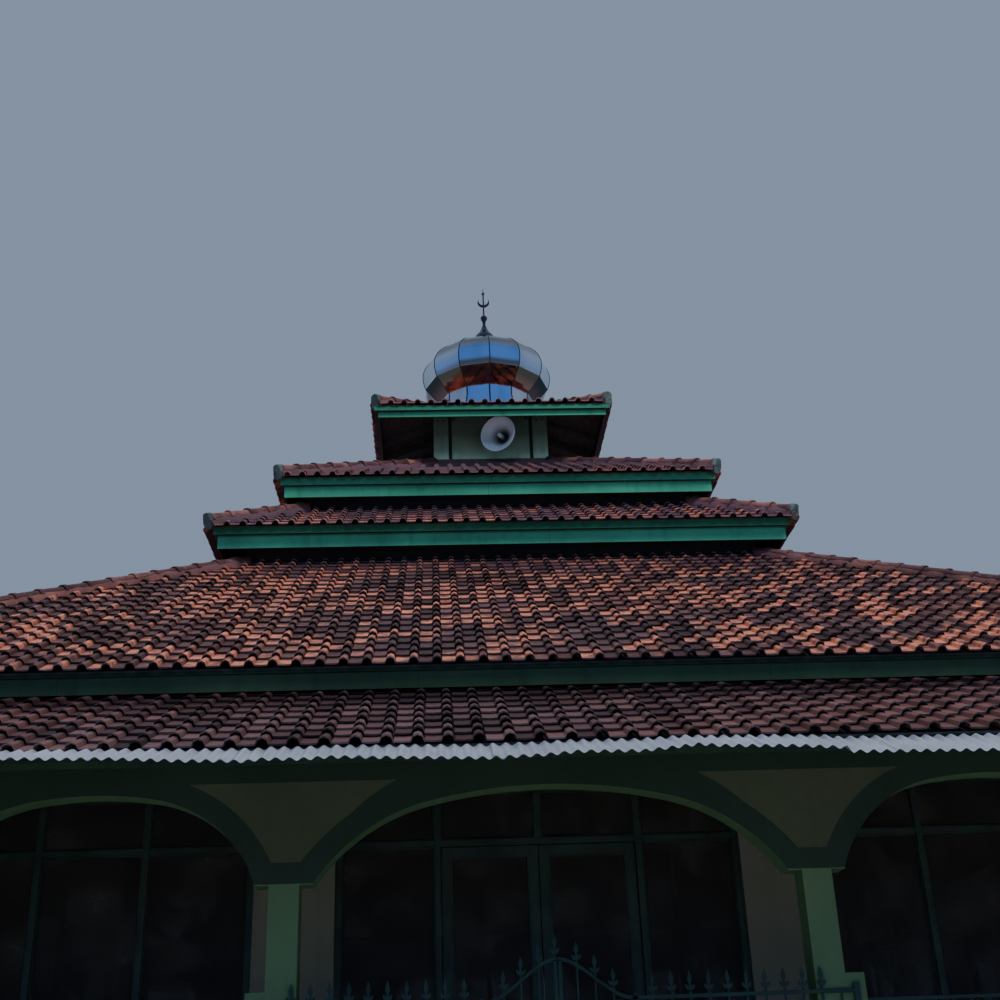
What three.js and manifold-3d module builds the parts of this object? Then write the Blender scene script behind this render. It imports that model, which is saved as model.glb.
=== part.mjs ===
// A tiered-roof mosque with a square prayer hall, an arcaded veranda on all four sides,
// four stacked hipped roofs, a lantern and a mirror-steel dome.
// Millimetres, +Z up, the front faces -Y, the origin is on the ground under the dome.
import * as THREE from 'three';
import { mergeVertices } from 'three/addons/utils/BufferGeometryUtils.js';
import Module from 'manifold-3d';

const wasm = await Module();
wasm.setup();

// Driving dimensions
const SEAT_GAP = 0.3;
const FAR = 20000;
const TRIM_ALLOWANCE = 300;
const FLOOR_TOP = 220;
const SLAB_HALF = 8900;

const ARCADE_FACE = 8790;
const ARCADE_THICK = 250;
const COLUMN_WIDTH = 250;
const GATE_COLUMN_X = 2210;
const CAPITAL_UNDERSIDE = 2330;
const CAPITAL_STEP = 118;
const ARCH_SPRING = 2350;
const ARCH_CROWN = 3100;
const CROWN_RADIUS_RATIO = 2.29;
const HAUNCH_RADIUS_RATIO = 0.82;
const ARC_STEPS = 4;
const PIER_WIDTH = 155;
const PIER_TOP = 1510;

const HALL_FACE = 7360;
const HALL_WALL = 200;
const ENTRANCE_HALF = 1905;
const WINDOW_INNER_X = 2650;
const WINDOW_OUTER_X = 6650;
const WINDOW_SILL = 670;
const WINDOW_HEAD = 3400;
const TRANSOM_Z = 2870;
const FRAME_BAR = 60;
const FRAME_DEPTH = 80;
const PANE_THICK = 12;
const FRAME_SETBACK = 40;

const DOOR_POST_X = 952;
const DOOR_GAP = 5;
const DOOR_MEETING_GAP = 8;
const DOOR_DEPTH = 40;
const DOOR_STILE = 90;
const DOOR_RAIL_Z = 1150;
const DOOR_CLEARANCE = 10;
const DOOR_HINGE_Z = [500, 1500, 2500];
const KNUCKLE_RADIUS = 8;
const KNUCKLE_HEIGHT = 60;
const KNUCKLE_CLEAR = 0.4;
const HINGE_PLATE = 14;
const HINGE_BED = 4;
const SHEET_MARGIN = 50;

const FENCE_FRONT = 8825;
const FENCE_DEPTH = 25;
const FENCE_TOP = 1390;
const FENCE_RAIL = 30;
const FENCE_SECOND_RAIL = 1240;
const FENCE_BOTTOM = 300;
const FENCE_END_X = 2430;
const BAR_WIDTH = 16;
const BAR_PITCH = 145;
const SPEAR_TIP = 1570;
const SIDE_FENCE_TOP = 1320;
const SIDE_POST_PITCH = 580;
const GATE_HALF = 612;
const GATE_PEAK = 1700;
const GATE_CLEAR = 8;
const GATE_SPEAR = 130;
const GATE_HINGE_Z = [480, 1180];
const BRACKET = { half: 60, sideHalf: 40, bed: 5, sideHeight: 14 };
const SIDE_FENCE_INSET = 30;
const LOCK = { width: 90, proud: 12, foot: 1130, top: 1250 };

// Roof tiers: half-width and height of the tile surface at the eave, half-width of the top
// edge, slope, half-width at which the hip bars stop, and their crest above the tiles
const VERANDA = { eave: 10470, eaveZ: 3088, top: HALL_FACE, rise: 0.466, hipStop: 8506, crest: 115 };
const MAIN = { eave: 8580, eaveZ: 4265, top: 3450, rise: 0.584, hipStop: 3450, crest: 115 };
const THIRD = { eave: 3990, eaveZ: 7600, top: 2750, rise: 0.577, hipStop: 2750, crest: 150 };
const SECOND = { eave: 3200, eaveZ: 8680, top: 926, rise: 0.52, hipStop: 926, crest: 150 };
const CROWN = { eave: 1900, eaveZ: 10510, top: 0, rise: 0.35, hipStop: 640, crest: 155 };
const ROOF_THICK = 60;
const HIP_HALF = 110;
const HIP_SETBACK = 70;
const HIP_BED = 60;
const HIP_INSET = 3;
const HIP_OVERRUN = 300;

// Eave boards: a deep lower board with its face, foot and joint, and a thin upper board
const BOARD_THICK = 25;
const VERANDA_BOARD = { face: 10400, foot: 2965, joint: 3010, upperFace: 10405 };
const MAIN_BOARD = { face: 8500, foot: 4050, joint: 4210, upperFace: 8515 };
const THIRD_BOARD = { face: 3797, foot: 7336, joint: 7520, upperFace: 3850 };
const SECOND_BOARD = { face: 3038, foot: 8402, joint: 8570, upperFace: 3090 };
const CROWN_BOARD = { face: 1785, foot: 10315, joint: 10405, upperFace: 1845 };

const CLERESTORY_THICK = 140;
const PILLAR = 350;
const BEAM_HEIGHT = 300;
const BEAM_WIDTH = 250;
const BEAM_DROP = 250;
const UPPER_DROP = 100;
const LANTERN_HALF = 926;
const LANTERN_POST = 240;
const LANTERN_RECESS = 30;
const LANTERN_WALL = 80;

// The strip starts at the veranda's tile edge and falls to its own lip
const STRIP_OUT = 10950;
const STRIP_ROOT_Z = 3065;
const STRIP_LIP_Z = 2866;
const STRIP_THICK = 20;

const DOME_SIDES = 13;
const DOME_PHASE = 1.4;
const DOME_RADIUS = 1105;
const DOME_EQUATOR = 11920;
const DOME_RISE = 660;
const DOME_SHEET = 10;
const DOME_BELTS = [[930, 11550], [1060, 11700]];
const DOME_CAP_RADIUS = 280;
const DOME_STEPS = 6;
const NECK_RADIUS = 805;
const NECK_Z = 11435;
const COLLAR_RADIUS = 880;
const COLLAR_CLEAR = 20;
const COLLAR_BASE = 10840;
const COLLAR_SHOULDER = 10990;
const COLLAR_WAIST = [800, 11300];
const COLLAR_BORE = 620;

// Half section of the finial above its seat on the dome, as radius and height
const FINIAL_FOOT_RADIUS = 270;
const FINIAL_PROFILE = [
  [215, 12640], [165, 12825], [105, 12895], [67, 12960], [43, 13020], [24, 13090], [32, 13125],
  [38, 13148], [52, 13175], [59, 13204], [50, 13236], [14, 13268], [12, 13690], [26, 13720],
  [10, 13748], [0, 13858],
];
const CRESCENT = { outer: 105, inner: 88, lift: 34, thick: 14, z: 13540 };

const HORN_MOUTH = { x: 98, y: -1330, z: 10237 };
const HORN_RADIUS = 300;
const HORN_YAW = 27;
const HORN_DIP = 4;
// Half section of the horn along its axis: driver, outer bell, rim, inner bell, inner tube
const HORN_PROFILE = [
  [0, -380], [80, -380], [92, -368], [92, -280], [60, -268], [60, -250], [105, -200],
  [190, -100], [HORN_RADIUS - 6, 0], [HORN_RADIUS, 8], [HORN_RADIUS - 10, 8], [178, -104],
  [92, -200], [52, -222], [44, -110], [30, -84], [0, -76],
];
const HORN_ARM = { back: 330, half: 25, reach: 60, foot: -125, top: -85 };
const HORN_PLATE = { half: 60, thick: 12, foot: -190, top: 20 };

// Solids and their joins and cuts
// Merged, without flat triangles, and with its faces pointing out
function oriented(geometry) {
  const bare = geometry.clone();
  for (const name of ['normal', 'uv']) bare.deleteAttribute(name);
  const merged = mergeVertices(bare, 1e-3);
  const points = merged.attributes.position;
  const index = merged.index.array;
  const [a, b, c] = [new THREE.Vector3(), new THREE.Vector3(), new THREE.Vector3()];
  const kept = [];
  let volume = 0;
  for (let i = 0; i < index.length; i += 3) {
    const corners = [index[i], index[i + 1], index[i + 2]];
    if (new Set(corners).size === 3) {
      kept.push(corners);
      [a, b, c].forEach((v, k) => v.fromBufferAttribute(points, corners[k]));
      volume += a.dot(b.cross(c));
    }
  }
  merged.setIndex(kept.flatMap(([i, j, k]) => (volume < 0 ? [i, k, j] : [i, j, k])));
  return merged;
}

function solid(geometry) {
  const g = oriented(geometry);
  return new wasm.Manifold(new wasm.Mesh({
    numProp: 3,
    vertProperties: Float32Array.from(g.attributes.position.array),
    triVerts: Uint32Array.from(g.index.array),
  }));
}

function geometryOf(body) {
  const mesh = body.getMesh();
  const g = new THREE.BufferGeometry();
  const points = new Float32Array((mesh.vertProperties.length / mesh.numProp) * 3);
  for (let i = 0; i < points.length / 3; i += 1) {
    for (let k = 0; k < 3; k += 1) points[3 * i + k] = mesh.vertProperties[i * mesh.numProp + k];
  }
  g.setAttribute('position', new THREE.BufferAttribute(points, 3));
  g.setIndex(Array.from(mesh.triVerts));
  return g;
}

function union(bodies) {
  return bodies.reduce((sum, body) => sum.add(body));
}

// Basic forms
function block(x0, x1, y0, y1, z0, z1) {
  const g = new THREE.BoxGeometry(x1 - x0, y1 - y0, z1 - z0);
  return g.translate((x0 + x1) / 2, (y0 + y1) / 2, (z0 + z1) / 2);
}

function revolved(profile, sides, phase) {
  const points = profile.map(([r, z]) => new THREE.Vector2(r, z));
  const g = new THREE.LatheGeometry(points, sides, phase);
  return g.rotateX(Math.PI / 2);
}

// A square ring with mitred corners, from a profile of half-widths and heights
function squareRing(profile) {
  const wide = profile.map(([half, z]) => [half * Math.SQRT2, z]);
  return revolved(wide, 4, Math.PI / 4);
}

// A flat outline in X and Z, given thickness along Y from the plane y = front
function upright(shape, front, depth) {
  const g = new THREE.ExtrudeGeometry(shape, { depth, bevelEnabled: false, curveSegments: 1 });
  return g.rotateX(Math.PI / 2).translate(0, front + depth, 0);
}

function outline(points) {
  return new THREE.Shape(points.map(([x, z]) => new THREE.Vector2(x, z)));
}

function rectangle(x0, x1, z0, z1) {
  return [[x0, z0], [x1, z0], [x1, z1], [x0, z1]];
}

// The solid of an upright outline, pierced right through by the given outlines
function pierced(edge, holes, front, depth) {
  const reach = 20;
  const plate = solid(upright(outline(edge), front, depth));
  if (holes.length === 0) return plate;
  const cutters = holes.map((hole) => upright(outline(hole), front - reach, depth + 2 * reach));
  return plate.subtract(union(cutters.map(solid)));
}

function mirrored(geometry) {
  return oriented(geometry.clone().scale(-1, 1, 1));
}

function quarterTurned(geometry, quarters) {
  return geometry.clone().rotateZ((quarters * Math.PI) / 2);
}

// Roof geometry
function tileZ(tier, half) {
  return tier.eaveZ + (tier.eave - half) * tier.rise;
}

function undersideZ(tier, half) {
  return tileZ(tier, half) - ROOF_THICK;
}

// Everything below the underside of a tier, for trimming what stands under it
function spaceBelow(tier) {
  const out = tier.eave + TRIM_ALLOWANCE;
  return solid(squareRing([
    [0, -TRIM_ALLOWANCE],
    [out, -TRIM_ALLOWANCE],
    [out, undersideZ(tier, out) - SEAT_GAP],
    [0, undersideZ(tier, 0) - SEAT_GAP],
  ]));
}

// The bar of one hip, with an end square to the hip a little inside the eave corner
function hipBar(tier) {
  const corner = tier.eave - HIP_SETBACK;
  const upperEnd = tier.hipStop - HIP_OVERRUN;
  const start = new THREE.Vector3(-corner, -corner, tileZ(tier, corner));
  const end = new THREE.Vector3(-upperEnd, -upperEnd, tileZ(tier, upperEnd));
  const section = outline([
    [-HIP_HALF, -HIP_BED],
    [HIP_HALF, -HIP_BED],
    [HIP_HALF, tier.crest * 0.35],
    [HIP_HALF * 0.6, tier.crest * 0.82],
    [0, tier.crest],
    [-HIP_HALF * 0.6, tier.crest * 0.82],
    [-HIP_HALF, tier.crest * 0.35],
  ]);
  const length = start.distanceTo(end);
  const g = new THREE.ExtrudeGeometry(section, { depth: length, bevelEnabled: false });
  const ahead = end.clone().sub(start).normalize();
  const side = new THREE.Vector3(1, -1, 0).normalize();
  const above = new THREE.Vector3().crossVectors(ahead, side);
  if (above.z < 0) above.negate();
  const frame = new THREE.Matrix4().makeBasis(side, above, ahead);
  return g.applyMatrix4(frame).translate(start.x, start.y, start.z);
}

// One tier: a thin hipped shell with a capped bar along each hip
function roofTier(tier) {
  const shell = solid(squareRing(tier.top > 0 ? [
    [tier.eave, tier.eaveZ - ROOF_THICK],
    [tier.eave, tier.eaveZ],
    [tier.top, tileZ(tier, tier.top)],
    [tier.top, undersideZ(tier, tier.top)],
    [tier.eave, tier.eaveZ - ROOF_THICK],
  ] : [
    [0, undersideZ(tier, 0)],
    [tier.eave, tier.eaveZ - ROOF_THICK],
    [tier.eave, tier.eaveZ],
    [0, tileZ(tier, 0)],
  ]));
  const bar = hipBar(tier);
  const bars = union([0, 1, 2, 3].map((q) => solid(quarterTurned(bar, q))));
  const out = tier.eave + TRIM_ALLOWANCE;
  const under = solid(squareRing([
    [0, 0],
    [out, 0],
    [out, tileZ(tier, out) - ROOF_THICK / 2],
    [0, tileZ(tier, 0) - ROOF_THICK / 2],
  ]));
  const edge = tier.eave - HIP_INSET;
  const inside = solid(block(-edge, edge, -edge, edge, 0, FAR));
  const stop = tier.top > 0 ? squareRing([
    [0, 0],
    [tier.hipStop + SEAT_GAP, 0],
    [tier.hipStop + SEAT_GAP, FAR],
    [0, FAR],
  ]) : domePrism(COLLAR_RADIUS + COLLAR_CLEAR, 0, FAR);
  const caps = bars.subtract(under).intersect(inside).subtract(solid(stop));
  let roof = shell.add(caps);
  if (tier.top > 0) {
    const wall = tier.top + SEAT_GAP;
    roof = roof.subtract(solid(block(-wall, wall, -wall, wall, 0, FAR)));
  }
  return geometryOf(roof);
}

// Eave boards: a deep lower board and a thin upper board that stands proud of it
function eaveBoards(tier, board) {
  const inner = board.face - BOARD_THICK;
  return squareRing([
    [inner, board.foot],
    [board.face, board.foot],
    [board.face, board.joint],
    [board.upperFace, board.joint],
    [board.upperFace, undersideZ(tier, board.upperFace) - SEAT_GAP],
    [inner, undersideZ(tier, inner) - SEAT_GAP],
    [inner, board.foot],
  ]);
}

// Arcade
// A three-centred arch from the right springing point to the left one: a flat crown arc
// between two tighter haunch arcs that meet it smoothly
function archCurve(centreX, halfSpan) {
  const crownR = halfSpan * CROWN_RADIUS_RATIO;
  const haunchR = halfSpan * HAUNCH_RADIUS_RATIO;
  const link = crownR - haunchR;
  const rise = ARCH_CROWN - ARCH_SPRING;
  const reach = Math.hypot(halfSpan, crownR - rise);
  const lean = Math.atan2(halfSpan, crownR - rise);
  const meet = lean - Math.acos((link ** 2 + reach ** 2 - haunchR ** 2) / (2 * link * reach));
  const foot = lean + Math.acos((haunchR ** 2 + reach ** 2 - link ** 2) / (2 * haunchR * reach));
  const crownCentreZ = ARCH_CROWN - crownR;
  const half = [];
  for (let i = 0; i < ARC_STEPS; i += 1) {
    const a = foot + ((meet - foot) * i) / ARC_STEPS;
    half.push([
      link * Math.sin(meet) + haunchR * Math.sin(a),
      crownCentreZ + link * Math.cos(meet) + haunchR * Math.cos(a),
    ]);
  }
  for (let i = 0; i < ARC_STEPS / 2; i += 1) {
    const a = meet * (1 - i / (ARC_STEPS / 2));
    half.push([crownR * Math.sin(a), crownCentreZ + crownR * Math.cos(a)]);
  }
  const right = half.map(([x, z]) => [centreX + x, z]);
  const left = half.map(([x, z]) => [centreX - x, z]).reverse();
  return [...right, [centreX, ARCH_CROWN], ...left];
}

function columnCentres() {
  const corner = ARCADE_FACE - COLUMN_WIDTH / 2;
  const middle = (corner + GATE_COLUMN_X) / 2;
  return [-corner, -middle, -GATE_COLUMN_X, GATE_COLUMN_X, middle, corner];
}

// One side of the arcade as one mass of masonry: columns, capitals, arches and the wall above
function arcadeSide(withCorners) {
  const centres = columnCentres();
  const top = tileZ(VERANDA, ARCADE_FACE) + TRIM_ALLOWANCE;
  const end = withCorners ? ARCADE_FACE : ARCADE_FACE - ARCADE_THICK;
  const foot = withCorners ? FLOOR_TOP : CAPITAL_UNDERSIDE;
  const points = [[-end, foot], [-end, top], [end, top], [end, foot]];
  for (let i = centres.length - 1; i > 0; i -= 1) {
    const right = centres[i] - COLUMN_WIDTH / 2;
    const left = centres[i - 1] + COLUMN_WIDTH / 2;
    if (withCorners || i < centres.length - 1) {
      points.push([right, FLOOR_TOP]);
      points.push([right, CAPITAL_UNDERSIDE]);
    }
    points.push([right - CAPITAL_STEP, CAPITAL_UNDERSIDE]);
    points.push(...archCurve((left + right) / 2, (right - left) / 2 - CAPITAL_STEP));
    points.push([left + CAPITAL_STEP, CAPITAL_UNDERSIDE]);
    if (withCorners || i > 1) {
      points.push([left, CAPITAL_UNDERSIDE]);
      points.push([left, FLOOR_TOP]);
    }
  }
  const wall = solid(upright(outline(points), -ARCADE_FACE, ARCADE_THICK));
  return geometryOf(wall.intersect(spaceBelow(VERANDA)));
}

function gatePier() {
  const inner = GATE_COLUMN_X + COLUMN_WIDTH / 2;
  const front = -ARCADE_FACE;
  return block(inner, inner + PIER_WIDTH, front, front + ARCADE_THICK, FLOOR_TOP, PIER_TOP);
}

// Hall walls
function hallWall(withCorners, withEntrance) {
  const end = withCorners ? HALL_FACE : HALL_FACE - HALL_WALL;
  const top = tileZ(MAIN, HALL_FACE) + TRIM_ALLOWANCE;
  const points = [[-end, FLOOR_TOP], [-end, top], [end, top], [end, FLOOR_TOP]];
  const holes = [
    rectangle(-WINDOW_OUTER_X, -WINDOW_INNER_X, WINDOW_SILL, WINDOW_HEAD),
    rectangle(WINDOW_INNER_X, WINDOW_OUTER_X, WINDOW_SILL, WINDOW_HEAD),
  ];
  if (withEntrance) {
    points.push([ENTRANCE_HALF, FLOOR_TOP], [ENTRANCE_HALF, WINDOW_HEAD]);
    points.push([-ENTRANCE_HALF, WINDOW_HEAD], [-ENTRANCE_HALF, FLOOR_TOP]);
  } else {
    holes.push(rectangle(-ENTRANCE_HALF, ENTRANCE_HALF, WINDOW_SILL, WINDOW_HEAD));
  }
  return geometryOf(pierced(points, holes, -HALL_FACE, HALL_WALL).intersect(spaceBelow(MAIN)));
}

// Openings left between bars of a frame, for vertical bars at the given places
function lights(barCentres, barWidth, z0, z1) {
  const gaps = [];
  for (let i = 0; i + 1 < barCentres.length; i += 1) {
    gaps.push(rectangle(barCentres[i] + barWidth / 2, barCentres[i + 1] - barWidth / 2, z0, z1));
  }
  return gaps;
}

// Front window: a frame with three mullions and a transom, closed by panes
function frontWindow() {
  const [x0, x1] = [WINDOW_INNER_X, WINDOW_OUTER_X];
  const step = (x1 - x0 - FRAME_BAR) / 4;
  const bars = [0, 1, 2, 3, 4].map((i) => x0 + FRAME_BAR / 2 + i * step);
  const edge = rectangle(x0, x1, WINDOW_SILL, WINDOW_HEAD);
  const low = lights(bars, FRAME_BAR, WINDOW_SILL + FRAME_BAR, TRANSOM_Z - FRAME_BAR / 2);
  const high = lights(bars, FRAME_BAR, TRANSOM_Z + FRAME_BAR / 2, WINDOW_HEAD - FRAME_BAR);
  const front = -HALL_FACE + FRAME_SETBACK;
  const frame = pierced(edge, [...low, ...high], front, FRAME_DEPTH);
  const paneFront = front + (FRAME_DEPTH - PANE_THICK) / 2;
  return geometryOf(frame.add(solid(upright(outline(edge), paneFront, PANE_THICK))));
}

function windowSheet() {
  const inner = -HALL_FACE + HALL_WALL;
  const half = WINDOW_OUTER_X + SHEET_MARGIN;
  const [foot, top] = [WINDOW_SILL - SHEET_MARGIN, WINDOW_HEAD + SHEET_MARGIN];
  return block(-half, half, inner, inner + PANE_THICK, foot, top);
}

// Hinge knuckle: a barrel on the axis with a leaf plate that reaches the piece that carries it
function knuckle(axis, z0, z1, radius, plateX0, plateX1, face) {
  const barrel = new THREE.CylinderGeometry(radius, radius, z1 - z0, 12).rotateX(Math.PI / 2);
  barrel.translate(axis.x, axis.y, (z0 + z1) / 2);
  const plate = block(plateX0, plateX1, face - HINGE_BED, axis.y, z0, z1);
  return solid(barrel).add(solid(plate));
}

function doorAxis() {
  const leafFace = -HALL_FACE + FRAME_SETBACK + FRAME_DEPTH;
  const clear = -(DOOR_POST_X - FRAME_BAR / 2) + DOOR_GAP / 2;
  return { x: clear, y: leafFace + KNUCKLE_RADIUS + KNUCKLE_CLEAR };
}

// Entrance screen: fixed side lights, top lights and the frame of a two-leaf doorway
function entranceScreen() {
  const half = ENTRANCE_HALF;
  const clear = DOOR_POST_X - FRAME_BAR / 2;
  const doorTop = TRANSOM_Z - FRAME_BAR / 2;
  const edge = [
    [-half, FLOOR_TOP], [-half, WINDOW_HEAD], [half, WINDOW_HEAD], [half, FLOOR_TOP],
    [clear, FLOOR_TOP], [clear, doorTop], [-clear, doorTop], [-clear, FLOOR_TOP],
  ];
  const outer = half - FRAME_BAR / 2;
  const top = lights([-outer, -DOOR_POST_X, 0, DOOR_POST_X, outer], FRAME_BAR,
    TRANSOM_Z + FRAME_BAR / 2, WINDOW_HEAD - FRAME_BAR);
  const left = lights([-outer, -DOOR_POST_X], FRAME_BAR, FLOOR_TOP + FRAME_BAR, doorTop);
  const right = lights([DOOR_POST_X, outer], FRAME_BAR, FLOOR_TOP + FRAME_BAR, doorTop);
  const front = -HALL_FACE + FRAME_SETBACK;
  const holes = [...top, ...left, ...right];
  let screen = pierced(edge, holes, front, FRAME_DEPTH);
  const paneFront = front + (FRAME_DEPTH - PANE_THICK) / 2;
  screen = screen.add(solid(upright(outline(edge), paneFront, PANE_THICK)));
  const axis = doorAxis();
  const face = front + FRAME_DEPTH;
  for (const z of DOOR_HINGE_Z) {
    const foot = z - KNUCKLE_HEIGHT;
    const body = knuckle(axis, foot, z, KNUCKLE_RADIUS, -clear - HINGE_PLATE, -clear, face);
    screen = screen.add(body).add(solid(mirrored(geometryOf(body))));
  }
  return geometryOf(screen);
}

function doorLeaf() {
  const x0 = -(DOOR_POST_X - FRAME_BAR / 2) + DOOR_GAP;
  const x1 = -DOOR_MEETING_GAP / 2;
  const [z0, z1] = [FLOOR_TOP + DOOR_CLEARANCE, TRANSOM_Z - FRAME_BAR / 2 - DOOR_GAP];
  const face = -HALL_FACE + FRAME_SETBACK + FRAME_DEPTH;
  const front = face - DOOR_DEPTH;
  const [left, right] = [x0 + DOOR_STILE, x1 - DOOR_STILE];
  const holes = [
    rectangle(left, right, z0 + 2 * DOOR_STILE, DOOR_RAIL_Z - DOOR_STILE / 2),
    rectangle(left, right, DOOR_RAIL_Z + DOOR_STILE / 2, z1 - DOOR_STILE),
  ];
  const edge = rectangle(x0, x1, z0, z1);
  let leaf = pierced(edge, holes, front, DOOR_DEPTH);
  const pane = upright(outline(edge), front + (DOOR_DEPTH - PANE_THICK) / 2, PANE_THICK);
  leaf = leaf.add(solid(pane));
  const axis = doorAxis();
  for (const z of DOOR_HINGE_Z) {
    const low = z + SEAT_GAP;
    const top = low + KNUCKLE_HEIGHT;
    leaf = leaf.add(knuckle(axis, low, top, KNUCKLE_RADIUS, x0, x0 + HINGE_PLATE, face));
  }
  return geometryOf(leaf);
}

// Fence and gate
function barPlaces(x0, x1, pitch) {
  const count = Math.max(2, Math.round((x1 - x0) / pitch));
  const places = [];
  for (let i = 0; i <= count; i += 1) {
    places.push(x0 + BAR_WIDTH / 2 + ((x1 - x0 - BAR_WIDTH) * i) / count);
  }
  return places;
}

// A run of spear points along a top edge, from the right to the left
function spears(places, railTop, rise) {
  const points = [];
  for (const x of [...places].reverse()) {
    const z = railTop(x);
    points.push([x + BAR_WIDTH / 2 - 1, z], [x, z + rise], [x - BAR_WIDTH / 2 + 1, z]);
  }
  return points;
}

function gateAxis() {
  return {
    x: -GATE_HALF + GATE_CLEAR / 2,
    y: -FENCE_FRONT + FENCE_DEPTH + KNUCKLE_RADIUS + KNUCKLE_CLEAR,
  };
}

// The fixed fence between a gate post and the column beside it
function gateFence() {
  const [x0, x1] = [-FENCE_END_X, -GATE_HALF];
  const places = barPlaces(x0, x1, BAR_PITCH);
  const spear = SPEAR_TIP - FENCE_TOP;
  const edge = [
    [x0, FENCE_BOTTOM], [x1 - FENCE_RAIL, FENCE_BOTTOM], [x1 - FENCE_RAIL, FLOOR_TOP],
    [x1, FLOOR_TOP], [x1, FENCE_TOP],
    ...spears(places.slice(1, -1), () => FENCE_TOP, spear),
    [x0, FENCE_TOP],
  ];
  const low = lights(places, BAR_WIDTH, FENCE_BOTTOM + FENCE_RAIL, FENCE_SECOND_RAIL);
  const high = lights(places, BAR_WIDTH, FENCE_SECOND_RAIL + FENCE_RAIL, FENCE_TOP - FENCE_RAIL);
  let panel = pierced(edge, [...low, ...high], -FENCE_FRONT, FENCE_DEPTH);
  const [left, right] = [-GATE_COLUMN_X - BRACKET.half, BRACKET.half - GATE_COLUMN_X];
  for (const z of [FENCE_BOTTOM, FENCE_TOP - FENCE_RAIL]) {
    const back = -FENCE_FRONT + FENCE_DEPTH - BRACKET.bed;
    const [foot, top] = [z + BRACKET.bed, z + FENCE_RAIL - BRACKET.bed];
    panel = panel.add(solid(block(left, right, back, -ARCADE_FACE, foot, top)));
  }
  const axis = gateAxis();
  const face = -FENCE_FRONT + FENCE_DEPTH;
  for (const z of GATE_HINGE_Z) {
    const body = knuckle(axis, z - KNUCKLE_HEIGHT, z, KNUCKLE_RADIUS, x1 - HINGE_PLATE, x1, face);
    panel = panel.add(body);
  }
  return geometryOf(panel);
}

// Height of the gate's top rail: a low ogee that rises to a point where the leaves meet
function gateRailZ(x) {
  const t = 1 - Math.min(1, Math.abs(x) / GATE_HALF);
  return FENCE_TOP + (GATE_PEAK - FENCE_TOP) * t * t * (3 - 2 * t);
}

function gateLeaf() {
  const [x0, x1] = [-GATE_HALF + GATE_CLEAR, -GATE_CLEAR / 2];
  const places = barPlaces(x0, x1, BAR_PITCH);
  const edge = [
    [x0, FENCE_BOTTOM], [x1, FENCE_BOTTOM], [x1, gateRailZ(x1)],
    ...spears(places.slice(1, -1), gateRailZ, GATE_SPEAR),
    [x0, gateRailZ(x0)],
  ];
  const low = lights(places, BAR_WIDTH, FENCE_BOTTOM + FENCE_RAIL, FENCE_SECOND_RAIL);
  const holeFoot = FENCE_SECOND_RAIL + FENCE_RAIL;
  const high = lights(places, BAR_WIDTH, holeFoot, 0).map(([[left], [right]]) => [
    [left, holeFoot], [right, holeFoot],
    [right, gateRailZ(right) - FENCE_RAIL], [left, gateRailZ(left) - FENCE_RAIL],
  ]);
  let leaf = pierced(edge, [...low, ...high], -FENCE_FRONT, FENCE_DEPTH);
  const axis = gateAxis();
  const face = -FENCE_FRONT + FENCE_DEPTH;
  for (const z of GATE_HINGE_Z) {
    const foot = z + SEAT_GAP;
    const top = foot + KNUCKLE_HEIGHT;
    leaf = leaf.add(knuckle(axis, foot, top, KNUCKLE_RADIUS, x0, x0 + HINGE_PLATE, face));
  }
  return leaf;
}

function lockBox() {
  const x1 = -GATE_CLEAR / 2;
  const [front, back] = [-FENCE_FRONT - LOCK.proud, -FENCE_FRONT + FENCE_DEPTH];
  return solid(block(x1 - LOCK.width, x1, front, back, LOCK.foot, LOCK.top));
}

// A fence between two columns of the arcade: rails and posts, with feet on the floor
function bayFence(x0, x1) {
  const places = barPlaces(x0, x1, SIDE_POST_PITCH);
  const edge = [[x0, FLOOR_TOP], [x0 + BAR_WIDTH, FLOOR_TOP], [x0 + BAR_WIDTH, FENCE_BOTTOM],
    [x1 - BAR_WIDTH, FENCE_BOTTOM], [x1 - BAR_WIDTH, FLOOR_TOP], [x1, FLOOR_TOP],
    [x1, SIDE_FENCE_TOP], [x0, SIDE_FENCE_TOP]];
  const holes = lights(places, BAR_WIDTH, FENCE_BOTTOM + FENCE_RAIL, SIDE_FENCE_TOP - FENCE_RAIL);
  const front = -ARCADE_FACE + (ARCADE_THICK - FENCE_DEPTH) / 2;
  return geometryOf(pierced(edge, holes, front, FENCE_DEPTH));
}

// The fence of a whole side, one run along the outer face of its columns
function sideFence() {
  const reach = ARCADE_FACE - SIDE_FENCE_INSET;
  const places = barPlaces(-reach, reach, SIDE_POST_PITCH);
  const edge = rectangle(-reach, reach, FENCE_BOTTOM, SIDE_FENCE_TOP);
  const holes = lights(places, BAR_WIDTH, FENCE_BOTTOM + FENCE_RAIL, SIDE_FENCE_TOP - FENCE_RAIL);
  let run = pierced(edge, holes, -FENCE_FRONT, FENCE_DEPTH);
  for (const x of columnCentres()) {
    const [left, right] = [x - BRACKET.sideHalf, x + BRACKET.sideHalf];
    const back = -FENCE_FRONT + FENCE_DEPTH - BRACKET.bed;
    const top = SIDE_FENCE_TOP - BRACKET.bed;
    const foot = top - BRACKET.sideHeight;
    run = run.add(solid(block(left, right, back, -ARCADE_FACE, foot, top)));
  }
  return geometryOf(run);
}

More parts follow.
